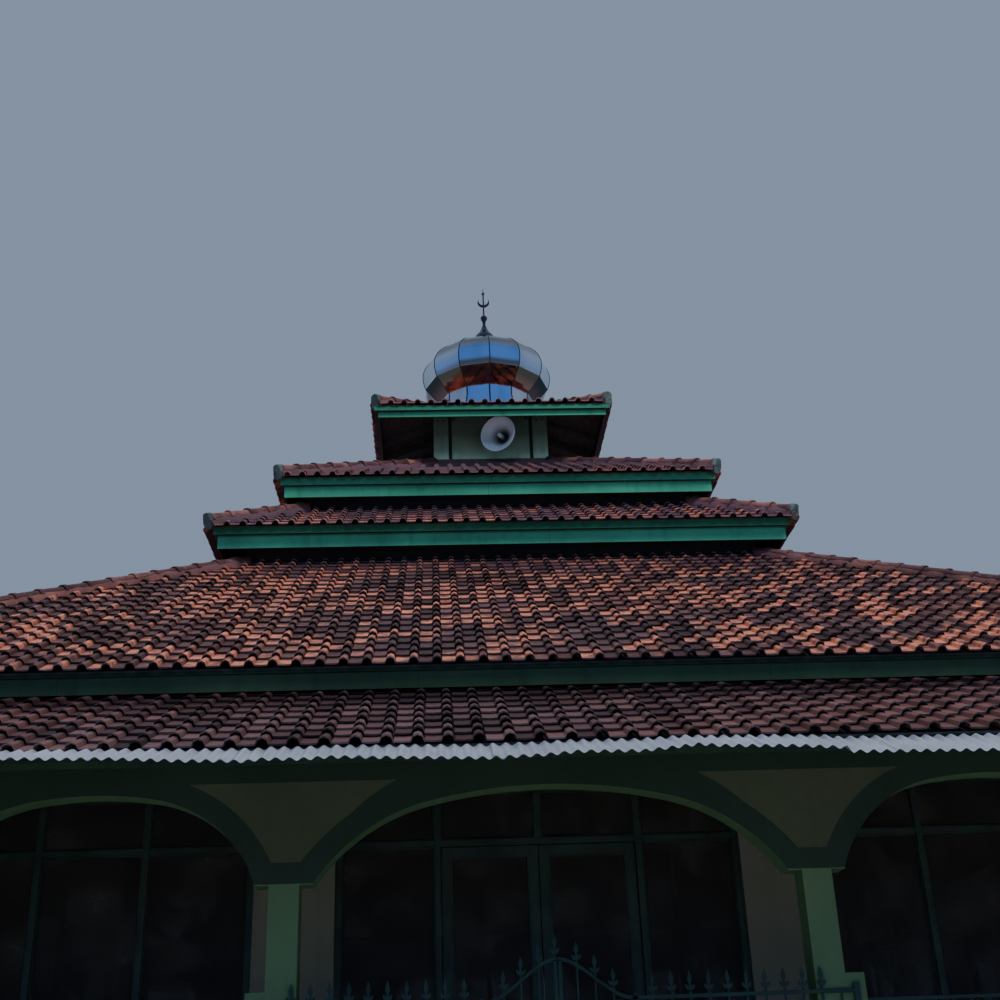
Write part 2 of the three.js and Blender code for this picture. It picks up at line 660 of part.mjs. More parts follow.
// Upper structure
function innerFrame() {
  const half = MAIN.top;
  const beamTop = undersideZ(MAIN, half) - SEAT_GAP - BEAM_DROP;
  const beamFoot = beamTop - BEAM_HEIGHT;
  let frame = solid(squareRing([
    [half - BEAM_WIDTH, beamFoot],
    [half, beamFoot],
    [half, beamTop],
    [half - BEAM_WIDTH, beamTop],
    [half - BEAM_WIDTH, beamFoot],
  ]));
  const foot = FLOOR_TOP + SEAT_GAP;
  const pillar = block(-half, -half + PILLAR, -half, -half + PILLAR, foot, beamTop);
  for (const q of [0, 1, 2, 3]) frame = frame.add(solid(quarterTurned(pillar, q)));
  return geometryOf(frame);
}

function clerestory(half, footZ, tier) {
  const inner = half - CLERESTORY_THICK;
  return squareRing([
    [inner, footZ],
    [half, footZ],
    [half, undersideZ(tier, half) - SEAT_GAP],
    [inner, undersideZ(tier, inner) - SEAT_GAP],
    [inner, footZ],
  ]);
}

function lantern() {
  const foot = undersideZ(SECOND, LANTERN_HALF) - UPPER_DROP;
  const top = undersideZ(CROWN, 0);
  const face = LANTERN_HALF - LANTERN_RECESS;
  let body = solid(squareRing([
    [face - LANTERN_WALL, foot],
    [face, foot],
    [face, top],
    [face - LANTERN_WALL, top],
    [face - LANTERN_WALL, foot],
  ]));
  const inner = -LANTERN_HALF + LANTERN_POST;
  const post = block(-LANTERN_HALF, inner, -LANTERN_HALF, inner, foot, top);
  for (const q of [0, 1, 2, 3]) body = body.add(solid(quarterTurned(post, q)));
  return geometryOf(body.intersect(spaceBelow(CROWN)));
}

function eaveStrip() {
  const inner = VERANDA.eave + SEAT_GAP;
  return squareRing([
    [inner, STRIP_ROOT_Z - STRIP_THICK],
    [STRIP_OUT, STRIP_LIP_Z - STRIP_THICK],
    [STRIP_OUT, STRIP_LIP_Z],
    [inner, STRIP_ROOT_Z],
    [inner, STRIP_ROOT_Z - STRIP_THICK],
  ]);
}

// Dome, collar and finial
function domePhase() {
  return THREE.MathUtils.degToRad(DOME_PHASE);
}

function domePrism(radius, z0, z1) {
  return revolved([[0, z0], [radius, z0], [radius, z1], [0, z1]], DOME_SIDES, domePhase());
}

function domeProfile(inset) {
  const lower = [
    [NECK_RADIUS, NECK_Z + SEAT_GAP],
    ...DOME_BELTS,
    [DOME_RADIUS, DOME_EQUATOR],
  ].map(([r, z], i) => [r - inset, z + (i === 1 ? inset * 0.6 : 0)]);
  const upper = [];
  const end = Math.acos(DOME_CAP_RADIUS / DOME_RADIUS);
  for (let i = 1; i <= DOME_STEPS; i += 1) {
    const a = (end * i) / DOME_STEPS;
    const r = (DOME_RADIUS - inset) * Math.cos(a);
    upper.push([r, DOME_EQUATOR + (DOME_RISE - inset) * Math.sin(a)]);
  }
  return [...lower, ...upper];
}

function domeTopZ() {
  return DOME_EQUATOR + DOME_RISE * Math.sin(Math.acos(DOME_CAP_RADIUS / DOME_RADIUS));
}

function dome() {
  const outer = domeProfile(0);
  const inner = domeProfile(DOME_SHEET);
  inner[0][1] = NECK_Z + SEAT_GAP;
  const crownZ = domeTopZ();
  return revolved([
    ...outer,
    [0, crownZ],
    [0, crownZ - DOME_SHEET],
    ...inner.reverse(),
    outer[0],
  ], DOME_SIDES, domePhase());
}

function domeCollar() {
  const ring = revolved([
    [COLLAR_BORE, COLLAR_BASE],
    [COLLAR_RADIUS, COLLAR_BASE],
    [COLLAR_RADIUS, COLLAR_SHOULDER],
    COLLAR_WAIST,
    [NECK_RADIUS, NECK_Z],
    [COLLAR_BORE, NECK_Z],
    [COLLAR_BORE, COLLAR_BASE],
  ], DOME_SIDES, domePhase());
  const roofTop = squareRing([
    [0, 0],
    [CROWN.eave, 0],
    [CROWN.eave, CROWN.eaveZ + SEAT_GAP],
    [0, tileZ(CROWN, 0) + SEAT_GAP],
  ]);
  return geometryOf(solid(ring).subtract(solid(roofTop)));
}

function finial() {
  const foot = domeTopZ() + SEAT_GAP;
  const sides = 12;
  const profile = [[0, foot], [FINIAL_FOOT_RADIUS, foot], ...FINIAL_PROFILE];
  const spire = solid(revolved(profile, sides, 0));
  const { outer, inner, lift, thick, z } = CRESCENT;
  const reach = (outer ** 2 + lift ** 2 - inner ** 2) / (2 * lift);
  const outerCross = Math.acos(reach / outer);
  const innerCross = Math.acos((reach - lift) / inner);
  const up = Math.PI / 2;
  const crescent = new THREE.Shape();
  crescent.absarc(0, 0, outer, up + outerCross, up - outerCross + 2 * Math.PI, false);
  crescent.absarc(0, lift, inner, up - innerCross, up + innerCross, true);
  const form = { depth: thick, bevelEnabled: false, curveSegments: sides };
  const moon = new THREE.ExtrudeGeometry(crescent, form);
  moon.rotateX(up).translate(0, thick / 2, z);
  return geometryOf(spire.add(solid(moon)));
}

// Horn loudspeaker on the lantern
function horn() {
  const sides = 20;
  const g = revolved(HORN_PROFILE, sides, 0);
  g.rotateX(Math.PI / 2);
  g.rotateX(THREE.MathUtils.degToRad(HORN_DIP));
  g.rotateZ(THREE.MathUtils.degToRad(-HORN_YAW));
  return g.translate(HORN_MOUTH.x, HORN_MOUTH.y, HORN_MOUTH.z);
}

function hornBracket() {
  const yaw = THREE.MathUtils.degToRad(HORN_YAW);
  const dip = THREE.MathUtils.degToRad(HORN_DIP);
  const x = HORN_MOUTH.x + HORN_ARM.back * Math.sin(yaw);
  const y = HORN_MOUTH.y + HORN_ARM.back * Math.cos(yaw);
  const z = HORN_MOUTH.z + HORN_ARM.back * Math.sin(dip);
  const face = -LANTERN_HALF + LANTERN_RECESS;
  const [arm, plate] = [
    block(x - HORN_ARM.half, x + HORN_ARM.half, y - HORN_ARM.reach, face,
      z + HORN_ARM.foot, z + HORN_ARM.top),
    block(x - HORN_PLATE.half, x + HORN_PLATE.half, face - HORN_PLATE.thick, face,
      z + HORN_PLATE.foot, z + HORN_PLATE.top),
  ];
  const body = solid(arm).add(solid(plate));
  return geometryOf(body.subtract(solid(horn()).translate([0, 0, -SEAT_GAP])));
}

// Finishes
function finish(color, roughness, metalness) {
  return new THREE.MeshStandardMaterial({ color, roughness, metalness });
}

const concrete = finish('#8d8f88', 0.9, 0);
const paleGreen = finish('#7fb58c', 0.75, 0);
const cream = finish('#cfc6b4', 0.8, 0);
const framePaint = finish('#1d5a49', 0.5, 0);
const glass = finish('#1a2226', 0.15, 0.1);
const fencePaint = finish('#1f7d74', 0.45, 0.3);
const clay = finish('#4a3633', 0.85, 0);
const tealPaint = finish('#1f6f62', 0.5, 0);
const darkGreen = finish('#173f33', 0.6, 0);
const timber = finish('#5a4632', 0.8, 0);
const zincSheet = finish('#b8bfcc', 0.4, 0.3);
const mirrorSteel = finish('#c9ced6', 0.12, 1);
const darkMetal = finish('#2b2d30', 0.4, 0.8);
const hornGrey = finish('#b6bec6', 0.45, 0.1);

const group = new THREE.Group();

function addPart(name, geometry, material) {
  const mesh = new THREE.Mesh(oriented(geometry), material);
  mesh.name = name;
  group.add(mesh);
}

addPart('floor_slab', block(-SLAB_HALF, SLAB_HALF, -SLAB_HALF, SLAB_HALF, 0, FLOOR_TOP), concrete);

const longArcade = arcadeSide(true);
const shortArcade = arcadeSide(false);
addPart('arcade_front', longArcade, paleGreen);
addPart('arcade_right', quarterTurned(shortArcade, 1), paleGreen);
addPart('arcade_back', quarterTurned(longArcade, 2), paleGreen);
addPart('arcade_left', quarterTurned(shortArcade, 3), paleGreen);
addPart('gate_pier_right', gatePier(), paleGreen);
addPart('gate_pier_left', mirrored(gatePier()), paleGreen);

addPart('hall_wall_front', hallWall(true, true), cream);
addPart('hall_wall_right', quarterTurned(hallWall(false, false), 1), cream);
addPart('hall_wall_back', quarterTurned(hallWall(true, false), 2), cream);
addPart('hall_wall_left', quarterTurned(hallWall(false, false), 3), cream);
addPart('front_window_right', frontWindow(), framePaint);
addPart('front_window_left', mirrored(frontWindow()), framePaint);
addPart('entrance_screen', entranceScreen(), framePaint);
addPart('entrance_door_left', doorLeaf(), framePaint);
addPart('entrance_door_right', mirrored(doorLeaf()), framePaint);
addPart('window_glass_right', quarterTurned(windowSheet(), 1), glass);
addPart('window_glass_back', quarterTurned(windowSheet(), 2), glass);
addPart('window_glass_left', quarterTurned(windowSheet(), 3), glass);

addPart('gate_fence_left', gateFence(), fencePaint);
addPart('gate_fence_right', mirrored(gateFence()), fencePaint);
addPart('gate_leaf_left', geometryOf(gateLeaf().add(lockBox())), fencePaint);
addPart('gate_leaf_right', mirrored(geometryOf(gateLeaf())), fencePaint);
const middleColumn = columnCentres()[4];
const nearFence = bayFence(
  GATE_COLUMN_X + COLUMN_WIDTH / 2 + PIER_WIDTH, middleColumn - COLUMN_WIDTH / 2);
const farFence = bayFence(middleColumn + COLUMN_WIDTH / 2, ARCADE_FACE - COLUMN_WIDTH);
addPart('bay_fence_near_right', nearFence, fencePaint);
addPart('bay_fence_near_left', mirrored(nearFence), fencePaint);
addPart('bay_fence_far_right', farFence, fencePaint);
addPart('bay_fence_far_left', mirrored(farFence), fencePaint);
addPart('fence_run_right', quarterTurned(sideFence(), 1), fencePaint);
addPart('fence_run_back', quarterTurned(sideFence(), 2), fencePaint);
addPart('fence_run_left', quarterTurned(sideFence(), 3), fencePaint);

addPart('veranda_roof', roofTier(VERANDA), clay);
addPart('main_roof', roofTier(MAIN), clay);
addPart('third_roof', roofTier(THIRD), clay);
addPart('second_roof', roofTier(SECOND), clay);
addPart('crown_roof', roofTier(CROWN), clay);
addPart('eave_strip', eaveStrip(), zincSheet);
addPart('veranda_eave_board', eaveBoards(VERANDA, VERANDA_BOARD), darkGreen);
addPart('main_eave_board', eaveBoards(MAIN, MAIN_BOARD), darkGreen);
addPart('third_eave_board', eaveBoards(THIRD, THIRD_BOARD), tealPaint);
addPart('second_eave_board', eaveBoards(SECOND, SECOND_BOARD), tealPaint);
addPart('crown_eave_board', eaveBoards(CROWN, CROWN_BOARD), tealPaint);

addPart('inner_frame', innerFrame(), cream);
const lowerFoot = undersideZ(MAIN, MAIN.top) - BEAM_DROP;
const upperFoot = undersideZ(THIRD, THIRD.top) - UPPER_DROP;
addPart('lower_clerestory', clerestory(MAIN.top, lowerFoot, THIRD), timber);
addPart('upper_clerestory', clerestory(THIRD.top, upperFoot, SECOND), timber);
addPart('lantern', lantern(), paleGreen);
addPart('dome_collar', domeCollar(), mirrorSteel);
addPart('dome', dome(), mirrorSteel);
addPart('finial', finial(), darkMetal);
addPart('horn_speaker', horn(), hornGrey);
addPart('horn_bracket', hornBracket(), darkMetal);

export default group;
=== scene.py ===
"""Dresses the tiered-roof mosque: tiles, caps, paint, glass, fences, dome and horn."""

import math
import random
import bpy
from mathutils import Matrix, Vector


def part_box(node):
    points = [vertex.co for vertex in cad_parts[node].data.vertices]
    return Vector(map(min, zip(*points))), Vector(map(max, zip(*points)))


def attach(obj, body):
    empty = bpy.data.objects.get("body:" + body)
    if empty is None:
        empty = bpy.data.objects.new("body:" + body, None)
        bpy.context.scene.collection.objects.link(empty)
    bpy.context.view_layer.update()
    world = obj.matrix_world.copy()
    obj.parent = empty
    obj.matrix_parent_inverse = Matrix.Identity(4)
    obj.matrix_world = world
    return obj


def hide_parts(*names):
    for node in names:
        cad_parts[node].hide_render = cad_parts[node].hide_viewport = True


bl_info = {
    "name": "Tiered roof mosque",
    "version": (1, 0, 0),
    "blender": (4, 5, 0),
    "location": "3D View > Sidebar > Mosque",
    "description": "Dresses the tiered-roof mosque with tiles, paint, glass and metal",
    "category": "Object",
}

from collections import namedtuple

import bmesh
import bpy
from bpy.props import FloatProperty, FloatVectorProperty, IntProperty, PointerProperty
from mathutils import Matrix, Vector

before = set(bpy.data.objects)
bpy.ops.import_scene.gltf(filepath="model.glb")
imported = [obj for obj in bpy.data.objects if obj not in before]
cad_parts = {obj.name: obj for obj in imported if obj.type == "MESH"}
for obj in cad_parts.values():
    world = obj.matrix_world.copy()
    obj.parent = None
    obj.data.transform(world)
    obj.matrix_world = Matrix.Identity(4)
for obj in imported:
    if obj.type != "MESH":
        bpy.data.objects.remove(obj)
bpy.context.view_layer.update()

# Places taken from the frame, in metres
FLOOR_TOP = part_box("floor_slab")[1].z
ARCADE_FACE = -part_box("arcade_front")[0].y
ARCADE_BACK = -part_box("arcade_front")[1].y
HALL_FACE = -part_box("hall_wall_front")[0].y
HALL_INNER = -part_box("hall_wall_front")[1].y
LANTERN_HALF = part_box("lantern")[1].x
FENCE_FRONT = -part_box("gate_fence_left")[0].y
FENCE_END_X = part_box("gate_fence_right")[1].x
GATE_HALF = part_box("gate_fence_right")[0].x
SIDE_FENCE_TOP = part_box("fence_run_back")[1].z
WINDOW_LOW, WINDOW_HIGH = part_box("front_window_right")
SCREEN_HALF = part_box("entrance_screen")[1].x
DOME_FOOT_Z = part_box("dome")[0].z

# Roof tiers: where the tile surface starts and ends, and where its rafters show
ROOF_THICK = 0.06
Tier = namedtuple("Tier", "name eave eave_z board joint top rise hip_stop crest shift rafters")


def tier_of(name, board, joint, top, rise, hip_stop, crest, shift, rafters):
    low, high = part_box(f"{name}_roof")
    return Tier(name, high.x, low.z + ROOF_THICK, board, joint, top, rise, hip_stop, crest, shift,
                rafters)


VERANDA = tier_of("veranda", 10.405, 3.010, HALL_FACE, 0.466, 8.506, 0.115, 0.10,
                  ((7.37, 8.53), (8.80, 10.37)))
MAIN = tier_of("main", 8.515, 4.210, 3.45, 0.584, 3.45, 0.115, -0.04, ((7.37, 8.46),))
THIRD = tier_of("third", 3.850, 7.520, 2.75, 0.577, 2.75, 0.150, -0.04, ((3.46, 3.75),))
SECOND = tier_of("second", 3.090, 8.570, 0.926, 0.52, 0.926, 0.150, 0.0, ((2.76, 2.99),))
CROWN = tier_of("crown", 1.845, 10.405, 0.0, 0.35, 0.640, 0.155, -0.07, ((0.94, 1.74),))
TIERS = (VERANDA, MAIN, THIRD, SECOND, CROWN)
COLLAR_CLEAR = 0.90
WALL_GAP = 0.004
UPPER_ROOFS = (6.6, 7.4)  # between these heights the clay takes the upper roofs' tone
EAVE_SHADOW_Z = 3.95  # below it, the main roof's eaves cast a painted shadow on the veranda's tiles, and no bright patches are laid

# Hips: their parts are drawn for the full crest and flattened to each tier's own
FULL_CREST = 0.15
HIP_SETBACK = 0.07
EAVE_INSET = 0.003
DIAGONAL = 0.7071

# Arcade, as in the solids
GATE_COLUMN_X = 2.21
COLUMN_WIDTH = 0.25
CAPITAL_Z = 2.33
CAPITAL_STEP = 0.118
ARCH_SPRING = 2.35
ARCH_CROWN = 3.10
CROWN_RADIUS_RATIO = 2.29
HAUNCH_RADIUS_RATIO = 0.82
BAND_WIDTH = 0.185

# Windows and doors
TRANSOM_Z = 2.87
BAR = 0.06
FRAME_FRONT = HALL_FACE - 0.04
FRAME_DEPTH = 0.08
PANE = 0.005
RAIL_INSET = 0.002
JOINERY_EDGE = 0.0025
LIGHTS_ACROSS = 4
DOOR_POST_X = 0.952
DOOR_GAP = 0.005
MEETING_GAP = 0.004
DOOR_DEPTH = 0.04
DOOR_STILE = 0.09
DOOR_RAIL_Z = 1.15
DOOR_CLEARANCE = 0.01
HINGE_RADIUS = 0.008
HINGE_HEIGHT = 0.06
HINGE_FLAP = 0.016
KNUCKLE_GAP = 0.0003
BARREL_GAP = 0.0004
DOOR_HINGES = (0.5, 1.5, 2.5)
GATE_HINGES = (0.48, 1.18)

# Gate and fence
RAIL = 0.03
FENCE_DEPTH = 0.025
FENCE_BACK_Y = -FENCE_FRONT + FENCE_DEPTH
FENCE_MIDDLE_Y = -FENCE_FRONT + FENCE_DEPTH / 2
IRON_EDGE = 0.0015
FENCE_TOP = 1.39
FENCE_SECOND = 1.24
FENCE_BOTTOM = 0.30
PICKET_FOOT = FENCE_BOTTOM + RAIL
PICKET_TOP = SIDE_FENCE_TOP - RAIL
GATE_PEAK = 1.70
GATE_CLEAR = 0.008
SPEAR = 0.18
GATE_SPEAR = 0.17

# Dome, collar, finial and horn
DOME_SIDES = 13
DOME_PHASE = math.radians(1.4)
DOME_RADIUS = 1.105
DOME_EQUATOR = 11.92
DOME_RISE = 0.66
DOME_CAP_RADIUS = 0.28
DOME_BELT = 0.22
DOME_SHEET = 0.004
HORN_MOUTH = Vector((0.098, -1.33, 10.237))
HORN_RADIUS = 0.30
HORN_YAW = math.radians(27)
HORN_DIP = math.radians(4)

# Corrugated strip: how far its lip lies above the true line, by distance along the eave
LIP_LINE = (
    (-6.0, 0.0), (-3.9, 0.064), (-3.2, 0.044), (-2.68, 0.014), (-2.24, 0.003), (-2.16, 0.016),
    (-1.86, 0.009), (-1.70, 0.019), (-1.2, 0.009), (-0.5, -0.011), (-0.2, -0.002), (0.04, 0.017),
    (0.5, 0.012), (0.9, 0.050), (1.05, 0.035), (1.6, 0.020), (1.93, -0.002), (1.97, -0.030),
    (2.95, -0.046), (6.0, 0.0),
)
STRIP_SHEET = 0.0016
POINTS_PER_WAVE = 8

QUARTER = math.pi / 2
SIDES = ("front", "right", "back", "left")
MITRES = (((0, 0, 0), (1, 1, 0)), ((0, 0, 0), (-1, 1, 0)))


# Settings that a user would change
class MosqueTileSizes(bpy.types.PropertyGroup):
    """Sizes of the roof tiles and hip caps."""

    cover: FloatProperty(name="Cover width", description="Width of roof that one tile covers",
                         default=0.21, unit="LENGTH")
    veranda_cover: FloatProperty(name="Veranda cover width", default=0.226, unit="LENGTH",
                                 description="Width of veranda roof that one tile covers")
    exposure: FloatProperty(name="Exposure", description="Length of tile that shows in each course",
                            default=0.28, unit="LENGTH")
    length: FloatProperty(name="Tile length", description="Whole length of one tile",
                          default=0.34, unit="LENGTH")
    thickness: FloatProperty(name="Tile thickness", description="Thickness of the fired clay",
                             default=0.014, unit="LENGTH")
    roll_height: FloatProperty(name="Roll height", default=0.052, unit="LENGTH",
                               description="Height of the roll at its lower end")
    unevenness: FloatProperty(name="Unevenness", description="How far tiles lie out of line",
                              default=0.004, unit="LENGTH")
    cap_spacing: FloatProperty(name="Hip cap spacing", description="Distance between hip collars",
                               default=0.325, unit="LENGTH")
    seed: IntProperty(name="Seed", default=7,
                      description="Seed of the tiles' unevenness and colour")


class MosqueColours(bpy.types.PropertyGroup):
    """Paint and clay colours."""

    # The column, arch band, panel, hall wall, window-frame and fence colours below are darker than
    # these paints are: the darkening is painted shade, for the deep shade under the veranda roof.
    column: FloatVectorProperty(name="Column green", description="Paint of columns and piers",
                                subtype="COLOR", default=(0.141, 0.262, 0.104))
    band: FloatVectorProperty(name="Arch band green", description="Dark paint along the arches",
                              subtype="COLOR", default=(0.023, 0.055, 0.026))
    panel: FloatVectorProperty(name="Spandrel panel", description="Paint between the arches",
                               subtype="COLOR", default=(0.100, 0.120, 0.057))
    wall: FloatVectorProperty(name="Hall wall", description="Paint of the hall walls",
                              subtype="COLOR", default=(0.250, 0.240, 0.153))
    joinery: FloatVectorProperty(name="Window frames", description="Paint of frames and doors",
                                 subtype="COLOR", default=(0.040, 0.066, 0.048))
    lantern: FloatVectorProperty(name="Lantern green", description="Paint of the lantern's boards",
                                 subtype="COLOR", default=(0.50, 0.80, 0.56))
    fence: FloatVectorProperty(name="Fence teal", description="Paint of gate and fences",
                               subtype="COLOR", default=(0.012, 0.050, 0.034))
    eave: FloatVectorProperty(name="Eave teal", description="Paint of the upper eave boards",
                              subtype="COLOR", default=(0.056, 0.33, 0.185))
    dark_eave: FloatVectorProperty(name="Eave dark green", description="Paint of the lower eaves",
                                   subtype="COLOR", default=(0.030, 0.062, 0.028))
    clay: FloatVectorProperty(name="Weathered clay", description="Grimed tile faces",
                              subtype="COLOR", default=(0.088, 0.042, 0.037))
    # colour of the tiles' bright terracotta patches, also mixed into their warm clouds
    fresh_clay: FloatVectorProperty(name="Bare clay", description="Washed terracotta patches",
                                    subtype="COLOR", default=(0.66, 0.215, 0.115))
    mortar: FloatVectorProperty(name="Hip mortar", description="Tinted mortar under the hip caps",
                                subtype="COLOR", default=(0.23, 0.095, 0.075))


class MosqueFenceSizes(bpy.types.PropertyGroup):
    """Sizes of the fence bars."""

    bar: FloatProperty(name="Bar width", description="Side of a square fence bar",
                       default=0.016, unit="LENGTH")
    pitch: FloatProperty(name="Bar pitch", description="Distance between fence bars",
                         default=0.1525, unit="LENGTH")


class MosqueStripSizes(bpy.types.PropertyGroup):
    """Sizes of the corrugated strip along the veranda eave."""

    pitch: FloatProperty(name="Wave pitch", description="Distance between wave crests",
                         default=0.0945, unit="LENGTH")
    height: FloatProperty(name="Wave height", description="Height from trough to crest",
                          default=0.024, unit="LENGTH")
    sheet: FloatProperty(name="Sheet width", description="Width of one sheet", default=0.945,
                         unit="LENGTH")


class MosqueStage(bpy.types.PropertyGroup):
    """Lens, place and direction of the camera."""

    lens: FloatProperty(name="Lens", description="Focal length for a 36 mm sensor, in millimetres",
                        default=47.02)
    yaw: FloatProperty(name="Yaw", description="Camera turn to the right", subtype="ANGLE",
                       default=math.radians(3.154))
    pitch: FloatProperty(name="Pitch", description="Camera tilt upwards", subtype="ANGLE",
                         default=math.radians(23.991))
    roll: FloatProperty(name="Roll", description="Camera roll", subtype="ANGLE",
                        default=math.radians(-2.175))
    place: FloatVectorProperty(name="Place", description="Camera place", subtype="TRANSLATION",
                               default=(-0.931, -19.896, 0.80))


GROUPS = {
    "mosque_tiles": MosqueTileSizes,
    "mosque_colours": MosqueColours,
    "mosque_fence": MosqueFenceSizes,
    "mosque_strip": MosqueStripSizes,
    "mosque_stage": MosqueStage,
}


# Node trees
class Nodes:
    """Short calls that make and link the nodes of one tree."""

    def __init__(self, tree):
        self.tree = tree
        tree.nodes.clear()

    def put(self, socket, value):
        if isinstance(value, bpy.types.NodeSocket):
            self.tree.links.new(value, socket)
        else:
            socket.default_value = value

    def make(self, kind, inputs=None, **settings):
        node = self.tree.nodes.new(kind)
        for key, value in settings.items():
            setattr(node, key, value)
        for key, value in (inputs or {}).items():
            self.put(node.inputs[key], value)
        return node

    def math(self, operation, a, b=0.0):
        return self.make("ShaderNodeMath", {0: a, 1: b}, operation=operation).outputs[0]

    def times(self, a, b):
        return self.math("MULTIPLY", a, b)

    def plus(self, a, b):
        return self.math("ADD", a, b)

    def spread(self, value, low, high, to_low=0.0, to_high=1.0):
        """value between low and high, mapped onto to_low to to_high and held there."""
        inputs = {"Value": value, "From Min": low, "From Max": high, "To Min": to_low,
                  "To Max": to_high}
        return self.make("ShaderNodeMapRange", inputs).outputs["Result"]

    def mix(self, factor, a, b):
        """Colour a where the factor is 0, and b where it is 1."""
        node = self.make("ShaderNodeMix", {0: factor}, data_type="RGBA")
        sockets = [socket for socket in node.inputs if socket.type == "RGBA"]
        for socket, colour in zip(sockets, (a, b)):
            self.put(socket, colour if isinstance(colour, bpy.types.NodeSocket) else rgba(colour))
        return [socket for socket in node.outputs if socket.type == "RGBA"][0]


class Finish(Nodes):
    """One material, with the patterns that the finishes share."""

    def __init__(self, name):
        self.material = bpy.data.materials.new(name)
        self.material.use_nodes = True
        super().__init__(self.material.node_tree)
        self.shader = self.make("ShaderNodeBsdfPrincipled")
        self.make("ShaderNodeOutputMaterial", {"Surface": self.shader.outputs["BSDF"]})
        coordinates = self.make("ShaderNodeTexCoord").outputs
        self.place, self.facing = coordinates["Object"], coordinates["Normal"]
        parts = self.make("ShaderNodeSeparateXYZ", {0: self.place})
        self.x, self.y, self.z = parts.outputs
        self.out = self.math("MAXIMUM", self.math("ABSOLUTE", self.x),
                             self.math("ABSOLUTE", self.y))

    def noise(self, scale, detail=3.0, stretch=(1, 1, 1), roughness=0.5):
        place = self.make("ShaderNodeMapping", {"Vector": self.place, "Scale": stretch}).outputs[0]
        inputs = {"Vector": place, "Scale": scale, "Detail": detail, "Roughness": roughness}
        return self.make("ShaderNodeTexNoise", inputs).outputs["Fac"]

    def patches(self, scale, low, high, **options):
        return self.spread(self.noise(scale, **options), low, high)

    def own(self, attribute):
        node = self.make("ShaderNodeAttribute", attribute_name=attribute)
        return node.outputs["Fac"]

    def layer(self, mask, strength, below, above):
        """One colour over another where the mask is, at a strength."""
        return self.mix(self.times(mask, strength), below, above)

    def clouded(self, colour, dark, light, *patches, **options):
        """A colour in patches of a darker and a lighter shade."""
        return self.mix(self.patches(*patches, **options), shade(colour, dark),
                        shade(colour, light))

    def uneven(self, scale, low, high):
        """A value that wavers between low and high."""
        return self.spread(self.noise(scale), 0.3, 0.7, low, high)

    def dot(self, a, b):
        node = self.make("ShaderNodeVectorMath", {0: a, 1: b}, operation="DOT_PRODUCT")
        return node.outputs["Value"]

    def relief(self, height, strength, distance):
        inputs = {"Height": height, "Strength": strength, "Distance": distance}
        return self.make("ShaderNodeBump", inputs).outputs["Normal"]

    def done(self, colour, roughness, normal=None, **constants):
        self.put(self.shader.inputs["Base Color"], colour)
        self.put(self.shader.inputs["Roughness"], roughness)
        if normal is not None:
            self.put(self.shader.inputs["Normal"], normal)
        for key, value in constants.items():
            self.shader.inputs[key.replace("_", " ")].default_value = value
        return self.material


def rgba(colour):
    return (*tuple(colour)[:3], 1.0)


def shade(colour, factor):
    return tuple(min(1.0, channel * factor) for channel in tuple(colour)[:3])


def plaster_coat(f, colour, foot=FLOOR_TOP):
    """Painted plaster: cloudy tone, rain streaks, and grime that rises from the floor."""
    cloudy = f.clouded(colour, 0.86, 1.08, 0.9, 0.35, 0.7)
    streaks = f.patches(1.0, 0.56, 0.78, stretch=(5.0, 5.0, 0.45), detail=4.0)
    streaked = f.layer(streaks, 0.45, cloudy, shade(colour, 0.55))
    low = f.spread(f.z, foot, foot + 0.35, 1.0, 0.0)
    grime = f.times(low, f.noise(6.0, detail=4.0))
    return f.layer(grime, 0.9, streaked, (0.16, 0.14, 0.11))


def plaster_relief(f):
    hand = f.times(f.noise(2.2, detail=2.0), 3.0)
    grain = f.plus(hand, f.noise(90.0, detail=2.0))
    return f.relief(grain, 0.35, 0.004)


def arcade_plaster(name, colours):
    """Pale green, with dark green bands on the faces above the capitals."""
    f = Finish(name)
    front = f.math("GREATER_THAN", f.out, ARCADE_FACE - 0.004)
    back = f.math("LESS_THAN", f.out, ARCADE_BACK + 0.004)
    face = f.math("MAXIMUM", front, back)
    wobble = f.times(f.noise(14.0), 0.008)
    above = f.math("GREATER_THAN", f.plus(f.z, wobble), CAPITAL_Z + 0.012)
    band = f.times(face, above)
    pale = plaster_coat(f, colours.column)
    dark = plaster_coat(f, colours.band)
    rough = f.uneven(12.0, 0.55, 0.72)
    return f.done(f.mix(band, pale, dark), rough, plaster_relief(f))


def plain_plaster(name, colour, foot=FLOOR_TOP):
    f = Finish(name)
    rough = f.uneven(10.0, 0.6, 0.82)
    return f.done(plaster_coat(f, colour, foot), rough, plaster_relief(f))


def lantern_boards(name, colour):
    """Painted boards, with painted shade that darkens them upwards from near their foot, under the
    crown roof.
    """
    f = Finish(name)
    foot, top = tile_z(SECOND, LANTERN_HALF), tile_z(CROWN, LANTERN_HALF)
    faded = f.clouded(colour, 0.86, 1.1, 2.0, 0.35, 0.7)
    streaks = f.patches(2.2, 0.5, 0.75, stretch=(4.0, 4.0, 0.5), detail=4.0)
    tone = f.layer(streaks, 0.35, faded, shade(colour, 0.5))
    # painted shade: the boards darken upwards, for the shade under the crown roof's overhang
    painted_shade = f.times(f.spread(f.z, foot + 0.18, (foot + top) / 2 + 0.10), 0.84)
    height = f.times(f.noise(60.0), 0.15)
    return f.done(f.mix(painted_shade, tone, shade(colour, 0.16)), 0.62, f.relief(height, 0.6, 0.004))


